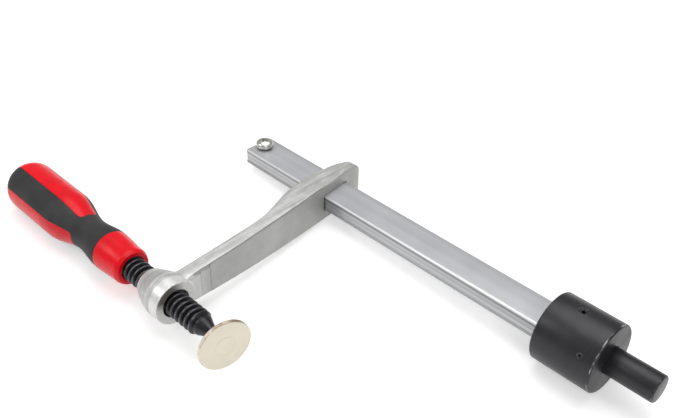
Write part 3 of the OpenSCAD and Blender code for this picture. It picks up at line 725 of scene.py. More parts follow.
def plated_casting(s, face_x, front_x):
    """Rough sand casting under a thin plating: pitted grain, cloudy tone and worn edges; painted sheen on the
    faces that do not look forward and painted shade on those that do, along the front edges and at the two
    steps beside the boss; and a boss whose turned band carries a painted highlight towards the top, with
    painted shade in the crease behind it and in its bore and a painted dark crescent on its face."""
    n = Finish("Plated casting")
    grain = n.group("Grain", Fine=1100, Patches=55)
    wear = n.group("Edge wear", Width=1.1 * MM, Amount=0.3)
    scuffs = n.noise(n.stretched((1, 0.25, 1)), 420, 5, 0.7)
    bands = n.noise(n.stretched((1, 0.03, 0.1)), 230, 2)
    front = n.spread(n.facing("X"), 0.6, 0.9)
    base = n.blend(n.spread(grain["Patches"], 0.35, 0.68), s.colour, toned(s.colour, 0.82))
    # Lighter scuffs, partly wear and partly painted sheen, and painted sheen in streaks along the arm, both
    # kept mostly off the faces that look forward
    scuffed_and_lit = n.times(n.spread(scuffs, 0.50, 0.72, 0, 0.50), n.spread(front, 0, 1, 1, 0.3))
    base = n.blend(scuffed_and_lit, base, s.sheen_and_wear_colour)
    sheen_bands = n.times(n.spread(bands, 0.46, 0.62, 0, 0.45), n.math("SUBTRACT", 1, front))
    base = n.blend(sheen_bands, base, s.sheen_and_wear_colour)
    # Painted shade: the faces that look forward are darkened
    base = n.blend(n.times(front, 0.12), base, s.arm_shade_colour)
    base = n.blend(wear["Mask"], base, s.sheen_and_wear_colour)

    # The arm's front: a lighter zone near the boss, painted shade along its edges and painted shadow at both
    # steps
    x, height = n.coordinate("X"), n.coordinate("Z")
    reach = n.math("SUBTRACT", n.coordinate("Y"), AXIS_Y)
    away = n.distance(AXIS, (1, 0, 0))
    radius = s.boss_face / 2
    far_step = s.step_at + s.step_length
    on_front = n.spread(x, front_x - 0.8 * MM, front_x - 0.3 * MM)
    lightened = n.spread(reach, far_step, s.step_at - 1 * MM, 0, 0.4)
    base = n.blend(n.times(lightened, on_front), base, s.sheen_and_wear_colour)
    beyond_boss = n.spread(reach, radius + 1 * MM, radius + 3 * MM)
    before_rail = n.spread(reach, -AXIS_Y - 8 * MM, -AXIS_Y - 14 * MM)
    front_edges = n.times(n.line(n.facing("X"), 0.62, 0.33), 0.75)
    shaded = n.times(beyond_boss, before_rail, n.math("MAXIMUM", wear["Edge"], front_edges))
    # Painted shadow along each step, strongest towards the top
    for at, strength in ((s.step_at, 0.5), (far_step, 0.65)):
        fading = n.spread(height, -9 * MM, 9 * MM, strength * 0.35, strength)
        shaded = n.math("MAXIMUM", shaded, n.times(n.line(reach, at, s.shade_width), on_front, fading))
    base = n.blend(shaded, base, s.arm_shade_colour)

    # The boss: its turned band with a painted highlight towards the top, painted shade in the crease behind
    # it, a painted dark crescent on its face and painted shade in its bore
    near_boss = n.spread(away, radius + 1.3 * MM, radius + 0.7 * MM)
    on_face = n.spread(x, face_x - 0.4 * MM, face_x - 0.15 * MM)
    band_from = face_x - s.boss_cone
    band = n.times(n.spread(x, band_from, band_from + 0.3 * MM), near_boss)
    band = n.math("SUBTRACT", band, n.times(band, on_face))
    # Painted highlight: the turned band is lighter towards the top
    polished_and_lit = n.times(band, n.spread(height, -6 * MM, 5 * MM, 0.1, 0.5))
    base = n.blend(polished_and_lit, base, s.sheen_and_wear_colour)
    patchy = n.spread(grain["Patches"], 0.35, 0.6, 0.15, 0.5)
    # Painted shade in the crease behind the band
    crease = n.times(n.line(x, band_from, s.shade_width), near_boss, patchy)
    base = n.blend(crease, base, s.arm_shade_colour)
    # Painted dark crescent on the boss's face, standing for the uneven reflection of its turned rings
    wander = n.times(n.math("SUBTRACT", grain["Patches"], 0.5), s.crescent_wander)
    upper = n.spread(n.plus(height, wander), 1 * MM, 5 * MM)
    outer = n.spread(n.plus(reach, wander), 5 * MM, -2 * MM, 0, 0.85)
    darkened = n.times(on_face, upper, outer, n.spread(away, radius, radius - 0.5 * MM))
    base = n.blend(darkened, base, s.crescent_colour)
    # Painted shade in the bore around the thread
    base = n.blend(n.spread(away, radius * 0.68, radius * 0.64), base, s.bore_shade_colour)

    rough = n.spread(n.plus(scuffs, grain["Grain"]), 0.75, 1.25, 0.38, 0.60)
    rough = n.math("SUBTRACT", rough, n.times(polished_and_lit, 0.2))
    skin = n.plus(n.spread(grain["Grain"], 0.30, 0.55), n.times(scuffs, 0.6))
    skin = n.times(skin, n.spread(band, 0, 1, 1, 0.15))
    return n.close(base, rough, skin, 0.4, 0.12 * MM, {"Metallic": 0.5})


def nickel_plate(s, centre, along):
    """Warm nickel with faint turning rings on its face and darker patches around its rim."""
    n = Finish("Warm nickel")
    radius = s.diameter / 2
    away = n.distance(centre, along)
    grain = n.group("Grain", Fine=1600, Patches=140)
    ringed = n.add("ShaderNodeCombineXYZ", X=n.plus(away, n.times(grain["Patches"], 0.6 * MM)))[0]
    rings = n.noise(ringed, 1900)
    rim = n.spread(away, radius * 0.975, radius * 0.995)
    base = n.blend(n.spread(rings, 0.35, 0.7, 0, 0.22), s.colour, toned(s.colour, 0.8))
    base = n.blend(n.times(rim, n.spread(n.noise(n.place(), 130), 0.44, 0.62)), base, s.rim_colour)
    base = n.worn(base, s.edge_colour, 0.4 * MM, 0.6)
    rough = n.spread(grain["Patches"], 0.3, 0.7, 0.38, 0.52)
    relief = n.plus(rings, n.times(grain["Grain"], 0.5))
    return n.close(base, rough, relief, 0.12, 0.06 * MM, {"Metallic": 0.65})


def black_thread(s):
    """Blackened spindle with a painted highlight on its crests: the tone follows the distance from its axis.
    """
    n = Finish("Black spindle steel")
    crest = s.diameter / 2
    height = n.distance(AXIS, (1, 0, 0))
    grain = n.group("Grain", Fine=2200, Patches=260)
    # Painted highlight on the crests, broken up by noise
    near_crest = n.spread(height, crest - s.depth * 0.08, crest * 0.998)
    lightened = n.times(near_crest, n.spread(grain["Patches"], 0.3, 0.62, 0.25, 1))
    base = n.blend(lightened, s.colour, s.crest_highlight_colour)
    base = n.worn(base, toned(s.crest_highlight_colour, 1.5), 0.4 * MM, 0.5)
    rough = n.spread(grain["Patches"], 0.3, 0.7, 0.24, 0.40)
    return n.close(base, rough, grain["Grain"], 0.12, 0.06 * MM, {"Metallic": 0.7})


def even_finish(name, grain_scales, patch_range, colours, wear, rough, bump, plain):
    """Fine grain, slow patches between two colours, worn edges as (colour, width, amount), and a
    roughness as (source, low, high)."""
    n = Finish(name)
    grain = n.group("Grain", Fine=grain_scales[0], Patches=grain_scales[1])
    base = n.blend(n.spread(grain["Patches"], *patch_range), *colours)
    if wear:
        base = n.worn(base, *wear)
    source, low, high = rough
    return n.close(base, n.spread(grain[source], 0.3, 0.7, low, high), grain["Grain"], *bump, plain)


def bright_zinc(name, colour, metallic):
    """Plated small parts with yellowish patches and rubbed edges."""
    return even_finish(
        name, (2400, 300), (0.45, 0.72), (colour, toned(colour, 0.86, 0.83, 0.72)),
        (toned(colour, 1.4), 0.3 * MM, 0.5), ("Patches", 0.24, 0.40), (0.12, 0.05 * MM),
        {"Metallic": metallic}
    )


def hard_core(s):
    """Satin hard plastic with a faint moulded grain and slow gloss changes."""
    return even_finish(
        "Red core plastic", (2000, 90), (0.4, 0.7), (s.core_colour, toned(s.core_colour, 0.82, 0.7, 0.7)),
        (s.core_edge, 0.5 * MM, 0.25), ("Patches", 0.26, 0.38), (0.05, 0.06 * MM),
        {"Specular IOR Level": 0.24}
    )


def soft_grip(s):
    """Matte rubbery grip: fine stipple, dusty patches and lighter worn edges."""
    return even_finish(
        "Soft grip rubber", (3200, 70), (0.42, 0.68), (s.grip_colour, toned(s.grip_colour, 1.55)),
        (toned(s.grip_colour, 3), 0.6 * MM, 0.35), ("Grain", 0.52, 0.70), (0.22, 0.08 * MM),
        {"Specular IOR Level": 0.3}
    )


def bronze_cup():
    """Bearing bronze with darker patches."""
    return even_finish(
        "Bearing bronze", (1500, 400), (0.4, 0.7), ((0.62, 0.44, 0.20), (0.45, 0.30, 0.13)),
        None, ("Grain", 0.3, 0.45), (0.1, 0.05 * MM), {"Metallic": 0.95}
    )


# Pieces

def make_rail(s):
    """Bar with rounded long edges, a flute in each narrow face and a broken free end."""
    bar = block("rail_bar", RAIL_LOW, RAIL_HIGH)
    half_w, half_t = RAIL_HIGH.y, RAIL_HIGH.z
    flute, slope = s.flute_width / 2, s.flute_depth
    for height in (-flute - slope, -flute, flute, flute + slope):
        bisect(bar, (0, 0, height), (0, 0, 1))
    for side in (-1, 1):
        shape(bar, "VERT", lambda co: abs(co.y - side * half_w) < NEAR and abs(co.z) < flute + slope / 2,
              bpy.ops.transform.translate, value=(0, -side * s.flute_depth, 0))
    for end in (RAIL_LOW.x, RAIL_HIGH.x):
        shape(bar, "FACE", lambda centre: abs(centre.x - end) < NEAR, bpy.ops.mesh.dissolve_faces)
    shape(bar, "EDGE", lambda a, b: abs(a.x - b.x) > half_w and min(abs(a.z), abs(b.z)) > half_t - NEAR,
          bpy.ops.mesh.bevel, offset=s.edge, segments=8, affect="EDGES")
    shape(bar, "EDGE", lambda a, b: abs(a.x - b.x) > half_w and abs(abs(a.z) - flute - slope / 2) < slope,
          bpy.ops.mesh.bevel, offset=slope * 0.3, segments=2, affect="EDGES")
    shape(bar, "EDGE", lambda a, b: max(a.x, b.x) < RAIL_LOW.x + NEAR,
          bpy.ops.mesh.bevel, offset=s.corner, segments=4, affect="EDGES")
    close_up(bar)
    hole_end = half_t + OVERRUN
    shank = bpy.context.scene.clamp_stop.shank
    cut(bar, rod("hole", (STOP_X, 0, -hole_end), (STOP_X, 0, hole_end), shank, 64))
    finish_piece(bar, drawn_zinc(s), "rail_body", "rail")


def make_stop(s):
    """Pan head screw with a cross recess, and the split lock washer under it."""
    radius = SCREW_HIGH.x - STOP_X
    base, top = WASHER_HIGH.z, SCREW_HIGH.z
    rim_top = base + s.rim
    head = ball("stop_screw", (STOP_X, 0, rim_top), radius, flatten=(top - rim_top) / radius)
    bisect(head, (STOP_X, 0, rim_top), (0, 0, 1), clear_inner=True, use_fill=False)
    select(head, "EDGE", lambda a, b: max(a.z, b.z) < rim_top + NEAR)
    extrude(0, 0, -s.rim)
    bpy.ops.mesh.edge_face_add()
    close_up(head)
    shank = rod("shank", (STOP_X, 0, SCREW_LOW.z), (STOP_X, 0, base + s.rim / 2), s.shank, 64)
    round_edges(shank, 0.4 * MM, 60)
    combine(head, shank)
    half_w, half_slot = s.cross_width / 2, s.cross_slot / 2
    taper = (0.45, 0.7, 1)
    for quarter in (0, QUARTER_TURN):
        wing = block("recess", (-half_w, -half_slot, -s.cross_depth), (half_w, half_slot, OVERRUN))
        shape(wing, "VERT", lambda co: co.z < 0,
              bpy.ops.transform.resize, value=taper, center_override=(0, 0, 0))
        settle(wing, placed((STOP_X, 0, top), s.cross_turn + quarter, "Z"))
        cut(head, wing)
    close_up(head)
    finish_piece(head, bright_zinc("Bright zinc", s.colour, 0.9), "rail_body", "end_stop_screw")

    wide = (WASHER_HIGH.x - WASHER_LOW.x) / 2
    low, high = Vector((STOP_X, 0, WASHER_LOW.z)), Vector((STOP_X, 0, WASHER_HIGH.z))
    thick, over = (high - low).length, Vector((0, 0, OVERRUN))
    play = 0.1 * MM
    washer = rod("lock_washer", low, high, 2 * wide)
    gap = block("gap", (0, -s.washer_gap / 2, -thick), (wide * 1.2, s.washer_gap / 2, thick))
    settle(gap, placed((low + high) / 2, s.gap_turn, "Z") @ Matrix.Rotation(s.gap_slant, 4, "X"))
    cut(washer, rod("bore", low - over, high + over, s.shank + play), gap)
    round_edges(washer, 0.12 * MM, 50)
    close_up(washer)
    # The washer's dark colour is partly painted shade under the screw's head
    dull = bright_zinc("Dull zinc", s.washer_colour, 0.6)
    finish_piece(washer, dull, "rail_body", "end_stop_washer")


def pin_hole(s, radius):
    """Cutter for the pin's hole, right through a round body."""
    across = Vector((0, -math.cos(s.pin_angle), math.sin(s.pin_angle))) * (radius + OVERRUN)
    middle = Vector((-s.pin_at, 0, 0))
    return rod("pin_hole", middle - across, middle + across, s.pin_diameter, 48)


def make_collar(s):
    """Turned collar with broken edges, its rail pocket, stud seat, grub screw hole and pin hole."""
    back, front, radius = COLLAR_LOW.x, COLLAR_HIGH.x, COLLAR_HIGH.z
    collar = turned("collar_ring", [
        (back, radius - s.chamfer), (back + s.chamfer, radius),
        (front - s.chamfer, radius), (front, radius - s.chamfer)
    ], sides=160)
    round_edges(collar, 0.15 * MM)
    pocket = block("pocket", (back - OVERRUN, RAIL_LOW.y, RAIL_LOW.z), RAIL_HIGH)
    shape(pocket, "EDGE", lambda a, b: abs(a.x - b.x) > NEAR,
          bpy.ops.mesh.bevel, offset=bpy.context.scene.clamp_rail.edge, segments=6, affect="EDGES")
    seat = rod("seat", (-s.stud_seat, 0, 0), (OVERRUN, 0, 0), s.stud_diameter + 2 * s.stud_relief)
    spigot = rod("spigot", (-s.spigot_length, 0, 0), (OVERRUN, 0, 0), s.spigot_diameter)
    grub = rod("grub_hole", (-s.grub_at, 0, 0), (-s.grub_at, 0, radius + OVERRUN), s.grub_diameter, 48)
    flare = turned("flare", [
        (radius - s.grub_flare, s.grub_diameter / 2),
        (radius + s.grub_flare, s.grub_diameter / 2 + 2 * s.grub_flare)
    ], sides=48)
    settle(flare, placed((-s.grub_at, 0, 0), -QUARTER_TURN, "Y"))
    cut(collar, pocket, seat, spigot, grub, flare, pin_hole(s, radius))
    close_up(collar)
    black = burnished_steel("Burnished collar", s, 1, 2600, 0.3, front - s.chamfer)
    finish_piece(collar, black, "rail_body", "collar")


def make_stud(s):
    """Round stud with a relief at its root, a spigot and a chamfered end. The small black parts and
    the bearing cup keep their solids and get their finishes here."""
    radius, inner, relief = s.stud_diameter / 2, s.spigot_diameter / 2, s.stud_diameter / 2 - s.stud_relief
    end = STUD_HIGH.x
    stud = turned("stud_pin_body", [
        (-s.spigot_length, inner), (-s.stud_seat, inner), (-s.stud_seat, relief), (0, relief), (0, radius),
        (end - s.stud_chamfer, radius), (end, radius - s.stud_chamfer)
    ], sides=128)
    round_edges(stud, 0.12 * MM)
    cut(stud, pin_hole(s, radius))
    close_up(stud)
    black = burnished_steel("Burnished stud", s, 1, 3400, 0.3, end - s.stud_chamfer)
    finish_piece(stud, black, "rail_body", "stud")
    hardened = burnished_steel("Hardened black", s, 0.5, 3000, 0.2)
    for node in ("stud_pin", "grub_screw", "retaining_ring"):
        give_material(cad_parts[node], hardened)
    give_material(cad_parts["thrust_cup"], bronze_cup())


def make_arm(s):
    """Casting: a lofted arm, a turned boss and the two steps beside it are blended into one skin,
    which is then cut for the rail and the spindle."""
    front0 = ARM_LOW.x + s.head_length
    head_y = ARM_HIGH.y - s.head_round

    def front(y):
        return front0 + s.lean * math.sin(QUARTER_TURN * y / AXIS_Y)

    def back(y):
        flare = mix(front(y) - s.tip_depth, ARM_LOW.x, ease((s.flare_from + y) / (s.flare_from - s.flare_to)))
        return flare + s.head_taper * (max(y, 0) / head_y) ** 3

    def half_height(y):
        u = y / AXIS_Y
        return mix(s.head_height, s.tip_height, u) / 2 + s.swell * math.sin(math.pi * max(u, 0))

    # Loft: stations of (y, front, back, half height) from the tip to the head's rounded end
    arm_steps, head_steps, round_steps, boss_steps = 48, 12, 5, 14
    places = [mix(AXIS_Y, head_y, i / arm_steps) for i in range(arm_steps + 1)]
    stations = [(y, front(y), back(y), half_height(y)) for y in places]
    middle = (front(head_y) + back(head_y)) / 2
    half = (front(head_y) - back(head_y)) / 2
    for i in range(1, head_steps + 1):
        a = math.radians(84) * i / head_steps
        y = head_y + (s.head_round - 0.2 * MM) * math.sin(a)
        height = half_height(head_y) * mix(1, math.cos(a), s.head_crown)
        stations.append((y, middle + half * math.cos(a), middle - half * math.cos(a), height))
    deselect()
    y, x1, x0, h = stations[0]
    bpy.ops.mesh.primitive_plane_add(size=1, location=((x0 + x1) / 2, y, 0), rotation=(QUARTER_TURN, 0, 0))
    arm = named("cast_arm")
    arm.scale = (x1 - x0, 2 * h, 1)
    settle(arm)
    for corner_x, offset in ((x1, s.front_edge), (x0, s.back_edge)):
        shape(arm, "VERT", lambda co: abs(co.x - corner_x) < NEAR,
              bpy.ops.mesh.bevel, offset=offset, segments=4, affect="VERTICES")
    edit_all(arm)
    for next_y, next_x1, next_x0, next_h in stations[1:]:
        extrude((next_x0 + next_x1 - x0 - x1) / 2, next_y - y, 0)
        bpy.ops.transform.resize(
            value=((next_x1 - next_x0) / (x1 - x0), 1, next_h / h),
            center_override=((next_x0 + next_x1) / 2, next_y, 0)
        )
        y, x1, x0, h = next_y, next_x1, next_x0, next_h
    close_up(arm)

    # Boss: a rounded back edge, a swelling body and the turned band in front
    ahead = ARM_HIGH.x
    rear = ahead - s.boss_length
    band_start = ahead - s.boss_cone
    profile = []
    for i in range(round_steps + 1):
        a = QUARTER_TURN * i / round_steps
        radius = s.boss_back / 2 - s.boss_round * (1 - math.sin(a))
        profile.append((rear + s.boss_round * (1 - math.cos(a)), radius))
    for i in range(1, boss_steps + 1):
        u = i / boss_steps
        radius = mix(s.boss_back, s.boss_diameter, math.sin(QUARTER_TURN * u)) / 2
        profile.append((mix(rear + s.boss_round, band_start, u), radius))
    profile.append((ahead, s.boss_face / 2))
    boss = turned("boss", profile, AXIS_Y, 128)
    activate(boss)
    bpy.ops.object.duplicate()
    gauge = named("gauge")
    combine(arm, boss)
    depth = 2 * MM      # of the blocks that make the steps, all but their step sunk in the arm
    edge = s.tip_height / 2 - s.front_edge
    for reach, rise in ((s.step_at + s.step_length, s.step_height), (s.step_at, 2 * s.step_height)):
        step = block("step", (0, AXIS_Y, -edge), (depth, AXIS_Y + reach, edge))
        for edge_y in (AXIS_Y, AXIS_Y + reach):
            shape(step, "VERT", lambda co: abs(co.y - edge_y) < NEAR,
                  bpy.ops.transform.translate, value=(front(edge_y) + rise - depth, 0, 0))
        combine(arm, step)
    modify(arm, "REMESH", mode="VOXEL", voxel_size=s.voxel, use_smooth_shade=True)

    # Skin: soft around the boss, uneven where it is cast, true where it is turned
    junction = arm.vertex_groups.new(name="junction")
    skin = arm.vertex_groups.new(name="skin")
    machined = arm.vertex_groups.new(name="machined")
    for vertex in arm.data.vertices:
        x, y, z = vertex.co
        offset = y - AXIS_Y
        away = math.hypot(offset, z)
        behind_steps = x < front(y) + 2 * s.step_height + 0.3 * MM
        beside = offset > s.junction and behind_steps
        near = max(0, 1 - abs(away - s.boss_diameter / 2) / s.junction) if beside else 0
        band_radius = mix(s.boss_diameter, s.boss_face, (x - band_start) / s.boss_cone) / 2
        on_band = x > band_start and abs(away - band_radius) < s.voxel and not beside
        turned_part = 1 if on_band or x > ahead - s.voxel else 0
        junction.add([vertex.index], near, "REPLACE")
        machined.add([vertex.index], turned_part, "REPLACE")
        skin.add([vertex.index], 1 - turned_part, "REPLACE")
    modify(arm, "SMOOTH", factor=0.5, iterations=3, vertex_group="skin")
    modify(arm, "SMOOTH", factor=0.7, iterations=60, vertex_group="junction")
    texture = bpy.data.textures.new("Cast skin", "CLOUDS")
    texture.noise_scale = s.skin_scale
    texture.noise_depth = 3
    modify(arm, "DISPLACE", texture=texture, strength=s.skin_depth, mid_level=0.5, texture_coords="LOCAL",
           vertex_group="skin")
    modify(arm, "SHRINKWRAP", target=gauge, vertex_group="machined")
    bpy.data.meshes.remove(gauge.data)

    gap = Vector((3 * MM, s.slot_gap, s.slot_gap))
    slot_low = Vector((ARM_LOW.x, RAIL_LOW.y, RAIL_LOW.z)) - gap
    slot_high = Vector((front0, RAIL_HIGH.y, RAIL_HIGH.z)) + gap
    bore = rod("bore", (rear - OVERRUN, AXIS_Y, 0), (ahead + OVERRUN, AXIS_Y, 0), s.bore)
    mouth = turned("mouth", [
        (ahead - s.mouth_depth, s.bore / 2), (ahead, s.mouth / 2), (ahead + OVERRUN, s.mouth / 2)
    ], AXIS_Y)
    cut(arm, block("slot", slot_low, slot_high), bore, mouth)
    casting = plated_casting(s, ahead, front(AXIS_Y + s.step_at))
    finish_piece(arm, casting, "arm", "sliding_arm", 40)


# One turn of the thread: (share of the pitch, share of the depth) from root to root
THREAD_SHAPE = (
    (0.0, 0.0), (0.10, 0.0), (0.20, 0.07), (0.33, 0.80), (0.38, 0.96), (0.44, 1.0),
    (0.62, 1.0), (0.68, 0.96), (0.73, 0.80), (0.86, 0.07), (0.96, 0.0), (1.0, 0.0)
)


def make_spindle(s):
    """Right-hand trapezoidal screw: a profile wire is screwed along X, trimmed to a chamfered
    envelope, and joined to the nose, cone, neck and ball in front and the shank behind."""
    crest, root, nose = s.diameter / 2, s.diameter / 2 - s.depth, s.nose / 2
    ball_x, ball_r, neck_r = -s.ball_at, s.ball / 2, s.neck / 2
    neck_x = ball_x - math.sqrt(ball_r ** 2 - neck_r ** 2) - s.neck_length
    nose_x = neck_x - s.cone
    end = nose_x - s.nose_length
    inside_handle = 2 * MM
    start = end - s.thread_length - inside_handle
    spare = 2
    turns = math.ceil((end - start) / s.pitch) + 2 * spare

    deselect()
    bpy.ops.mesh.primitive_plane_add(size=MM, location=(start - spare * s.pitch, 0, root))
    screw = named("spindle_screw")
    settle(screw)
    edit_all(screw)
    bpy.ops.mesh.merge(type="CENTER")
    for (along, rise), (next_along, next_rise) in zip(THREAD_SHAPE, THREAD_SHAPE[1:]):
        step = ((next_along - along) * s.pitch, 0, (next_rise - rise) * s.depth)
        bpy.ops.mesh.extrude_vertices_move(TRANSFORM_OT_translate={"value": step})
    steps = 72
    modify(screw, "SCREW", axis="X", angle=-2 * math.pi, screw_offset=s.pitch, iterations=turns,
           steps=steps, render_steps=steps, use_merge_vertices=True, merge_threshold=NEAR)
    for where, away in ((start, -1), (end, 1)):
        bisect(screw, (where, 0, 0), (away, 0, 0), clear_outer=True, use_fill=True)
    close_up(screw, NEAR / 2)

    slack = 0.1 * MM
    chamfer = s.depth * 0.9
    over_crest = crest + 0.02 * MM
    front_root = root + 4 * slack
    envelope = turned("envelope", [
        (start - OVERRUN, root - slack), (start + slack, root - slack), (start + chamfer, over_crest),
        (end - chamfer, over_crest), (end - slack, front_root), (end + OVERRUN, front_root)
    ])
    combine(screw, envelope, "INTERSECT")
    tip = [
        (end - 1.5 * MM, root - 0.3 * MM), (end - 0.2 * MM, root - 0.3 * MM),      # root inside the thread
        (end - 0.2 * MM, nose - 0.3 * MM), (end + 0.1 * MM, nose),                 # start of the nose
        (nose_x - 0.2 * MM, nose), (nose_x + 0.15 * MM, nose - 0.25 * MM),         # its broken edge
        (neck_x - 0.4 * MM, neck_r + 0.15 * MM), (neck_x, neck_r)                  # cone and neck
    ]
    neck_angle, near_pole, ball_steps = math.pi - math.asin(neck_r / ball_r), 0.05, 12
    for i in range(ball_steps + 1):
        a = mix(neck_angle, near_pole, i / ball_steps)
        tip.append((ball_x + ball_r * math.cos(a), ball_r * math.sin(a)))
    combine(screw, turned("tip", tip))
    back, shank, broken = SPINDLE_LOW.x, s.shank / 2, 0.5 * MM
    combine(screw, turned("shank", [
        (back, shank - broken), (back + broken, shank), (start + inside_handle, shank)
    ], sides=64))
    settle(screw, placed(AXIS, s.phase, "X"))
    close_up(screw, NEAR / 2)
    finish_piece(screw, black_thread(s), "screw", "spindle", 34)


def handle_stations(s, inset):
    """Profile of the handle from its front end to its butt, drawn in by inset."""
    x, steps, dome_steps = HANDLE_HIGH.x, 10, 16
    out = []
    for i in range(steps):
        u = i / steps
        out.append((x - s.brow_at * u, mix(s.front, s.brow, math.sin(QUARTER_TURN * u)) / 2 - inset))
    marks = [(s.brow_at, s.brow), (s.swell_at, s.swell), (s.waist_at, s.waist), (s.belly_at, s.diameter)]
    for (a, d0), (b, d1) in zip(marks, marks[1:]):
        for i in range(steps):
            out.append((x - mix(a, b, i / steps), mix(d0, d1, ease(i / steps)) / 2 - inset))
    last = math.radians(87)
    for i in range(dome_steps + 1):
        a = last * i / dome_steps
        behind = (s.dome - inset) * math.sin(a) / math.sin(last)
        out.append((x - s.length + s.dome - behind, (s.diameter / 2 - inset) * math.cos(a)))
    return out


def window_cutter(s, widen):
    """Wedge through one window, with rounded front corners, widened all round."""
    reach = s.diameter * 0.75
    deepest = 1 * MM
    front_x = HANDLE_HIGH.x - s.window_at + widen
    back_x = HANDLE_HIGH.x - s.length + s.window_butt - widen
    half = math.tan(s.window_span / 2) * s.swell / 2 + widen
    deselect()
    bpy.ops.mesh.primitive_plane_add(size=1, location=((front_x + back_x) / 2, 0, deepest))
    cutter = named("window")
    cutter.scale = (front_x - back_x, 2 * half, 1)
    settle(cutter)
    shape(cutter, "VERT", lambda co: co.x > front_x - NEAR,
          bpy.ops.mesh.bevel, offset=s.window_corner, segments=6, affect="VERTICES")
    edit_all(cutter)
    narrow = deepest * 2 / s.swell
    bpy.ops.transform.resize(value=(1, narrow, 1), center_override=(0, 0, 0))
    extrude(0, 0, reach - deepest)
    bpy.ops.transform.resize(value=(1, reach / deepest, 1), center_override=(0, 0, 0))
    close_up(cutter)
    return cutter


def grip_zone(s, widen):
    """Space of the soft grip: the handle's outer layer behind its front end, without the windows."""
    far = s.length * 2
    dome_x = HANDLE_HIGH.x - s.length + s.dome
    room = 3 * MM
    outer = [(x - OVERRUN if x < dome_x else x, r + room) for x, r in handle_stations(s, 0)]
    zone = turned("grip_zone", outer, AXIS_Y)
    limit = HANDLE_HIGH.x - s.grip_at + widen
    cut(zone, turned("inner", handle_stations(s, s.grip_wall), AXIS_Y),
        block("cap", (limit, AXIS_Y - far, -far), (limit + far, AXIS_Y + far, far)))
    windows = 3
    for i in range(windows):
        cutter = window_cutter(s, -widen)
        settle(cutter, placed(AXIS, QUARTER_TURN - s.window_turn - math.radians(360 / windows) * i, "X"))
        cut(zone, cutter)
    return zone


def make_handle(s):
    """Hard core and soft grip. Both are cut from the same turned body by the same grip zone, so
    that they meet in an even seam."""
    core = turned("handle_core_body", handle_stations(s, 0), AXIS_Y, 128)
    grip = turned("handle_grip_skin", handle_stations(s, 0), AXIS_Y, 128)
    cut(core, grip_zone(s, 0))
    combine(grip, grip_zone(s, -s.seam), "INTERSECT")
    spindle = bpy.context.scene.clamp_spindle
    back = -spindle.ball_at - spindle.thread_length - s.opening_behind
    opening = rod("opening", (back, AXIS_Y, 0), (HANDLE_HIGH.x + OVERRUN, AXIS_Y, 0), s.opening)
    bore = rod("bore", (SPINDLE_LOW.x, AXIS_Y, 0), (back + OVERRUN, AXIS_Y, 0), spindle.shank, 64)
    cut(core, opening, bore)
    parts = ((core, hard_core(s), "handle_core"), (grip, soft_grip(s), "handle_grip"))
    for piece, material, node in parts:
        close_up(piece, 2 * NEAR)
        round_edges(piece, s.seam, 50)
        finish_piece(piece, material, "screw", node, 35)


def make_plate(s):
    """Round plate with a hub and its hollow, and a ring mark turned into its face."""
    radius, hub, socket = s.diameter / 2, s.hub / 2, s.socket / 2
    face, back = s.face_at, s.face_at - s.rim
    hub_x = -socket * math.cos(s.mouth)
    mark_in, mark_out = (s.mark - s.mark_width) / 2, (s.mark + s.mark_width) / 2
    groove = face - s.mark_depth
    plate = turned("pressure_disc", [
        (hub_x, s.hub_back / 2), (0, hub), (back - s.hub_root, hub), (back, hub + s.hub_root),
        (back, radius - s.chamfer), (back + s.chamfer, radius),
        (face - s.chamfer, radius), (face, radius - s.chamfer),
        (face, mark_out), (groove, mark_out - s.mark_wall), (groove, mark_in + s.mark_wall),
        (face, mark_in), (face, mark_in * 0.3)
    ], sides=160)
    round_edges(plate, 0.12 * MM, 25)
    cut(plate, ball("hollow", (0, 0, 0), socket, tilt=QUARTER_TURN))
    cut(plate, rod("mouth", (hub_x - OVERRUN, 0, 0), (0, 0, 0), 2 * socket * math.sin(s.mouth), 64))
    centre = Vector((-bpy.context.scene.clamp_spindle.ball_at, AXIS_Y, 0))
    settle(plate, placed(centre, -s.swing, "Z"))
    close_up(plate)
    nickel = nickel_plate(s, centre, (math.cos(s.swing), -math.sin(s.swing), 0))
    finish_piece(plate, nickel, "plate", "pressure_plate")


# Stage

LAMPS = (
    # name, place, width, power, colour
    ("Overhead", (-0.25, 0.10, 1.10), 1.0, 9.0, (1.0, 1.0, 1.0)),
    ("Front left", (-0.75, -0.75, 0.75), 0.4, 2.5, (1.0, 0.99, 0.98)),
    ("Right", (0.75, -0.55, 0.60), 0.4, 2.5, (0.98, 0.99, 1.0)),
)
LAMP_TARGET = Vector((-0.13, -0.07, 0))


def resting_plane(s):
    """A point of the surface that touches the collar, the handle and the head, and its normal."""
    collar = Vector((COLLAR_LOW.x, 0, COLLAR_LOW.z))
    handle = Vector((HANDLE_HIGH.x - s.handle_rest, AXIS_Y, HANDLE_LOW.z))
    head = Vector((ARM_LOW.x + s.head_inset, ARM_HIGH.y - s.head_inset, -s.head_rest))
    normal = (handle - collar).cross(head - collar).normalized()
    return collar, normal if normal.z > 0 else -normal


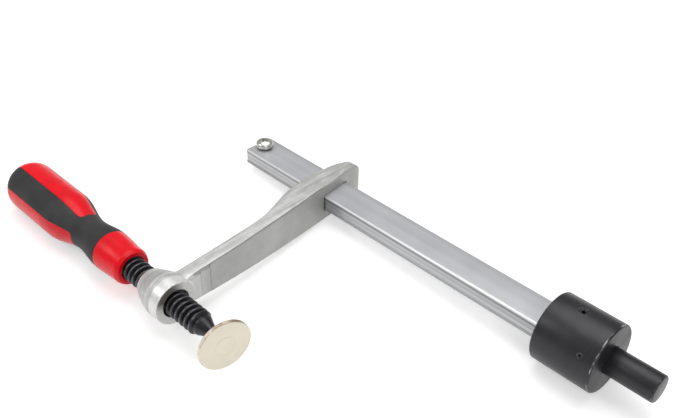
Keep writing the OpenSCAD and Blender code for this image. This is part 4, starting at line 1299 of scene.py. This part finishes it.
def make_stage(s):
    """Pale floor, soft lamps, plain surround and the camera."""
    point, normal = resting_plane(s)
    deselect()
    bpy.ops.mesh.primitive_plane_add(size=2 * s.floor_size, location=point - normal * s.floor_gap,
                                     rotation=normal.to_track_quat("Z", "Y").to_euler())
    floor = named("floor")
    settle(floor)
    n = Finish("Pale floor")
    n.tree.nodes.remove(n.tree.nodes["Principled BSDF"])
    diffuse = n.add("ShaderNodeBsdfDiffuse", Color=(s.floor_shade, s.floor_shade, s.floor_shade))
    path = n.add("ShaderNodeLightPath")
    seen = n.math("MAXIMUM", path["Is Camera Ray"], path["Is Glossy Ray"])
    seen = n.math("MAXIMUM", seen, path["Is Transmission Ray"])
    glow = n.add("ShaderNodeEmission", Color=(1, 1, 1), Strength=n.times(seen, s.floor_lift))
    both = n.add("ShaderNodeAddShader", diffuse[0], glow[0])[0]
    n.join(n.tree.nodes["Material Output"].inputs["Surface"], both)
    give_material(floor, n.material)

    scene = bpy.context.scene
    scene.world = bpy.data.worlds.new("Studio")
    scene.world.use_nodes = True
    n = Nodes(scene.world.node_tree)
    background = n.tree.nodes["Background"].inputs
    seen = n.add("ShaderNodeLightPath")["Is Camera Ray"]
    n.join(background["Strength"], n.spread(seen, 0, 1, s.world_shade, 1))
    n.join(background["Color"], (1, 1, 1))

    for name, place, width, power, colour in LAMPS:
        deselect()
        aim = (LAMP_TARGET - Vector(place)).to_track_quat("-Z", "Y").to_euler()
        bpy.ops.object.light_add(type="AREA", location=place, rotation=aim)
        lamp = named(name).data
        lamp.size = width
        lamp.energy = power
        lamp.color = colour

    bpy.ops.object.camera_add(location=s.camera_at, rotation=s.camera_turn)
    camera = bpy.context.object
    camera.data.lens = s.lens
    camera.data.sensor_width = 36
    camera.data.sensor_fit = "HORIZONTAL"
    camera.data.clip_start = 0.01
    camera.data.dof.use_dof = False
    scene.camera = camera
    scene.view_settings.view_transform = "Standard"


# Operators

class AddRail(bpy.types.Operator):
    """Model the fluted rail"""
    bl_idname = "clamp.rail"
    bl_label = "Rail"

    def execute(self, context):
        make_rail(context.scene.clamp_rail)
        return {"FINISHED"}


class AddStop(bpy.types.Operator):
    """Model the end stop screw and its lock washer"""
    bl_idname = "clamp.stop"
    bl_label = "End stop"

    def execute(self, context):
        make_stop(context.scene.clamp_stop)
        return {"FINISHED"}


class AddCollar(bpy.types.Operator):
    """Model the collar and the stud"""
    bl_idname = "clamp.collar"
    bl_label = "Collar and stud"

    def execute(self, context):
        make_collar(context.scene.clamp_collar)
        make_stud(context.scene.clamp_collar)
        return {"FINISHED"}


class AddArm(bpy.types.Operator):
    """Model the cast arm with its head and boss"""
    bl_idname = "clamp.arm"
    bl_label = "Sliding arm"

    def execute(self, context):
        make_arm(context.scene.clamp_arm)
        return {"FINISHED"}


class AddSpindle(bpy.types.Operator):
    """Model the threaded spindle"""
    bl_idname = "clamp.spindle"
    bl_label = "Spindle"

    def execute(self, context):
        make_spindle(context.scene.clamp_spindle)
        return {"FINISHED"}


class AddHandle(bpy.types.Operator):
    """Model the handle's core and grip"""
    bl_idname = "clamp.handle"
    bl_label = "Handle"

    def execute(self, context):
        make_handle(context.scene.clamp_handle)
        return {"FINISHED"}


class AddPlate(bpy.types.Operator):
    """Model the swivelling pressure plate"""
    bl_idname = "clamp.plate"
    bl_label = "Pressure plate"

    def execute(self, context):
        make_plate(context.scene.clamp_plate)
        return {"FINISHED"}


class AddStage(bpy.types.Operator):
    """Add the floor, the lamps and the camera"""
    bl_idname = "clamp.stage"
    bl_label = "Stage"

    def execute(self, context):
        make_stage(context.scene.clamp_stage)
        return {"FINISHED"}


OPERATORS = (AddStage, AddRail, AddStop, AddCollar, AddArm, AddSpindle, AddHandle, AddPlate)


class ClampPanel(bpy.types.Panel):
    """Lists the clamp's pieces"""
    bl_idname = "VIEW3D_PT_clamp"
    bl_label = "Welding table clamp"
    bl_space_type = "VIEW_3D"
    bl_region_type = "UI"
    bl_category = "Clamp"

    def draw(self, context):
        for operator in OPERATORS:
            self.layout.operator(operator.bl_idname)


def register():
    for name, settings in SETTINGS.items():
        bpy.utils.register_class(settings)
        setattr(bpy.types.Scene, name, bpy.props.PointerProperty(type=settings))
    for cls in (*OPERATORS, ClampPanel):
        bpy.utils.register_class(cls)


def unregister():
    for cls in reversed((*OPERATORS, ClampPanel)):
        bpy.utils.unregister_class(cls)
    for name, settings in SETTINGS.items():
        delattr(bpy.types.Scene, name)
        bpy.utils.unregister_class(settings)


def main():
    register()
    for operator in OPERATORS:
        space, name = operator.bl_idname.split(".")
        getattr(getattr(bpy.ops, space), name)()


if __name__ == "__main__":
    main()
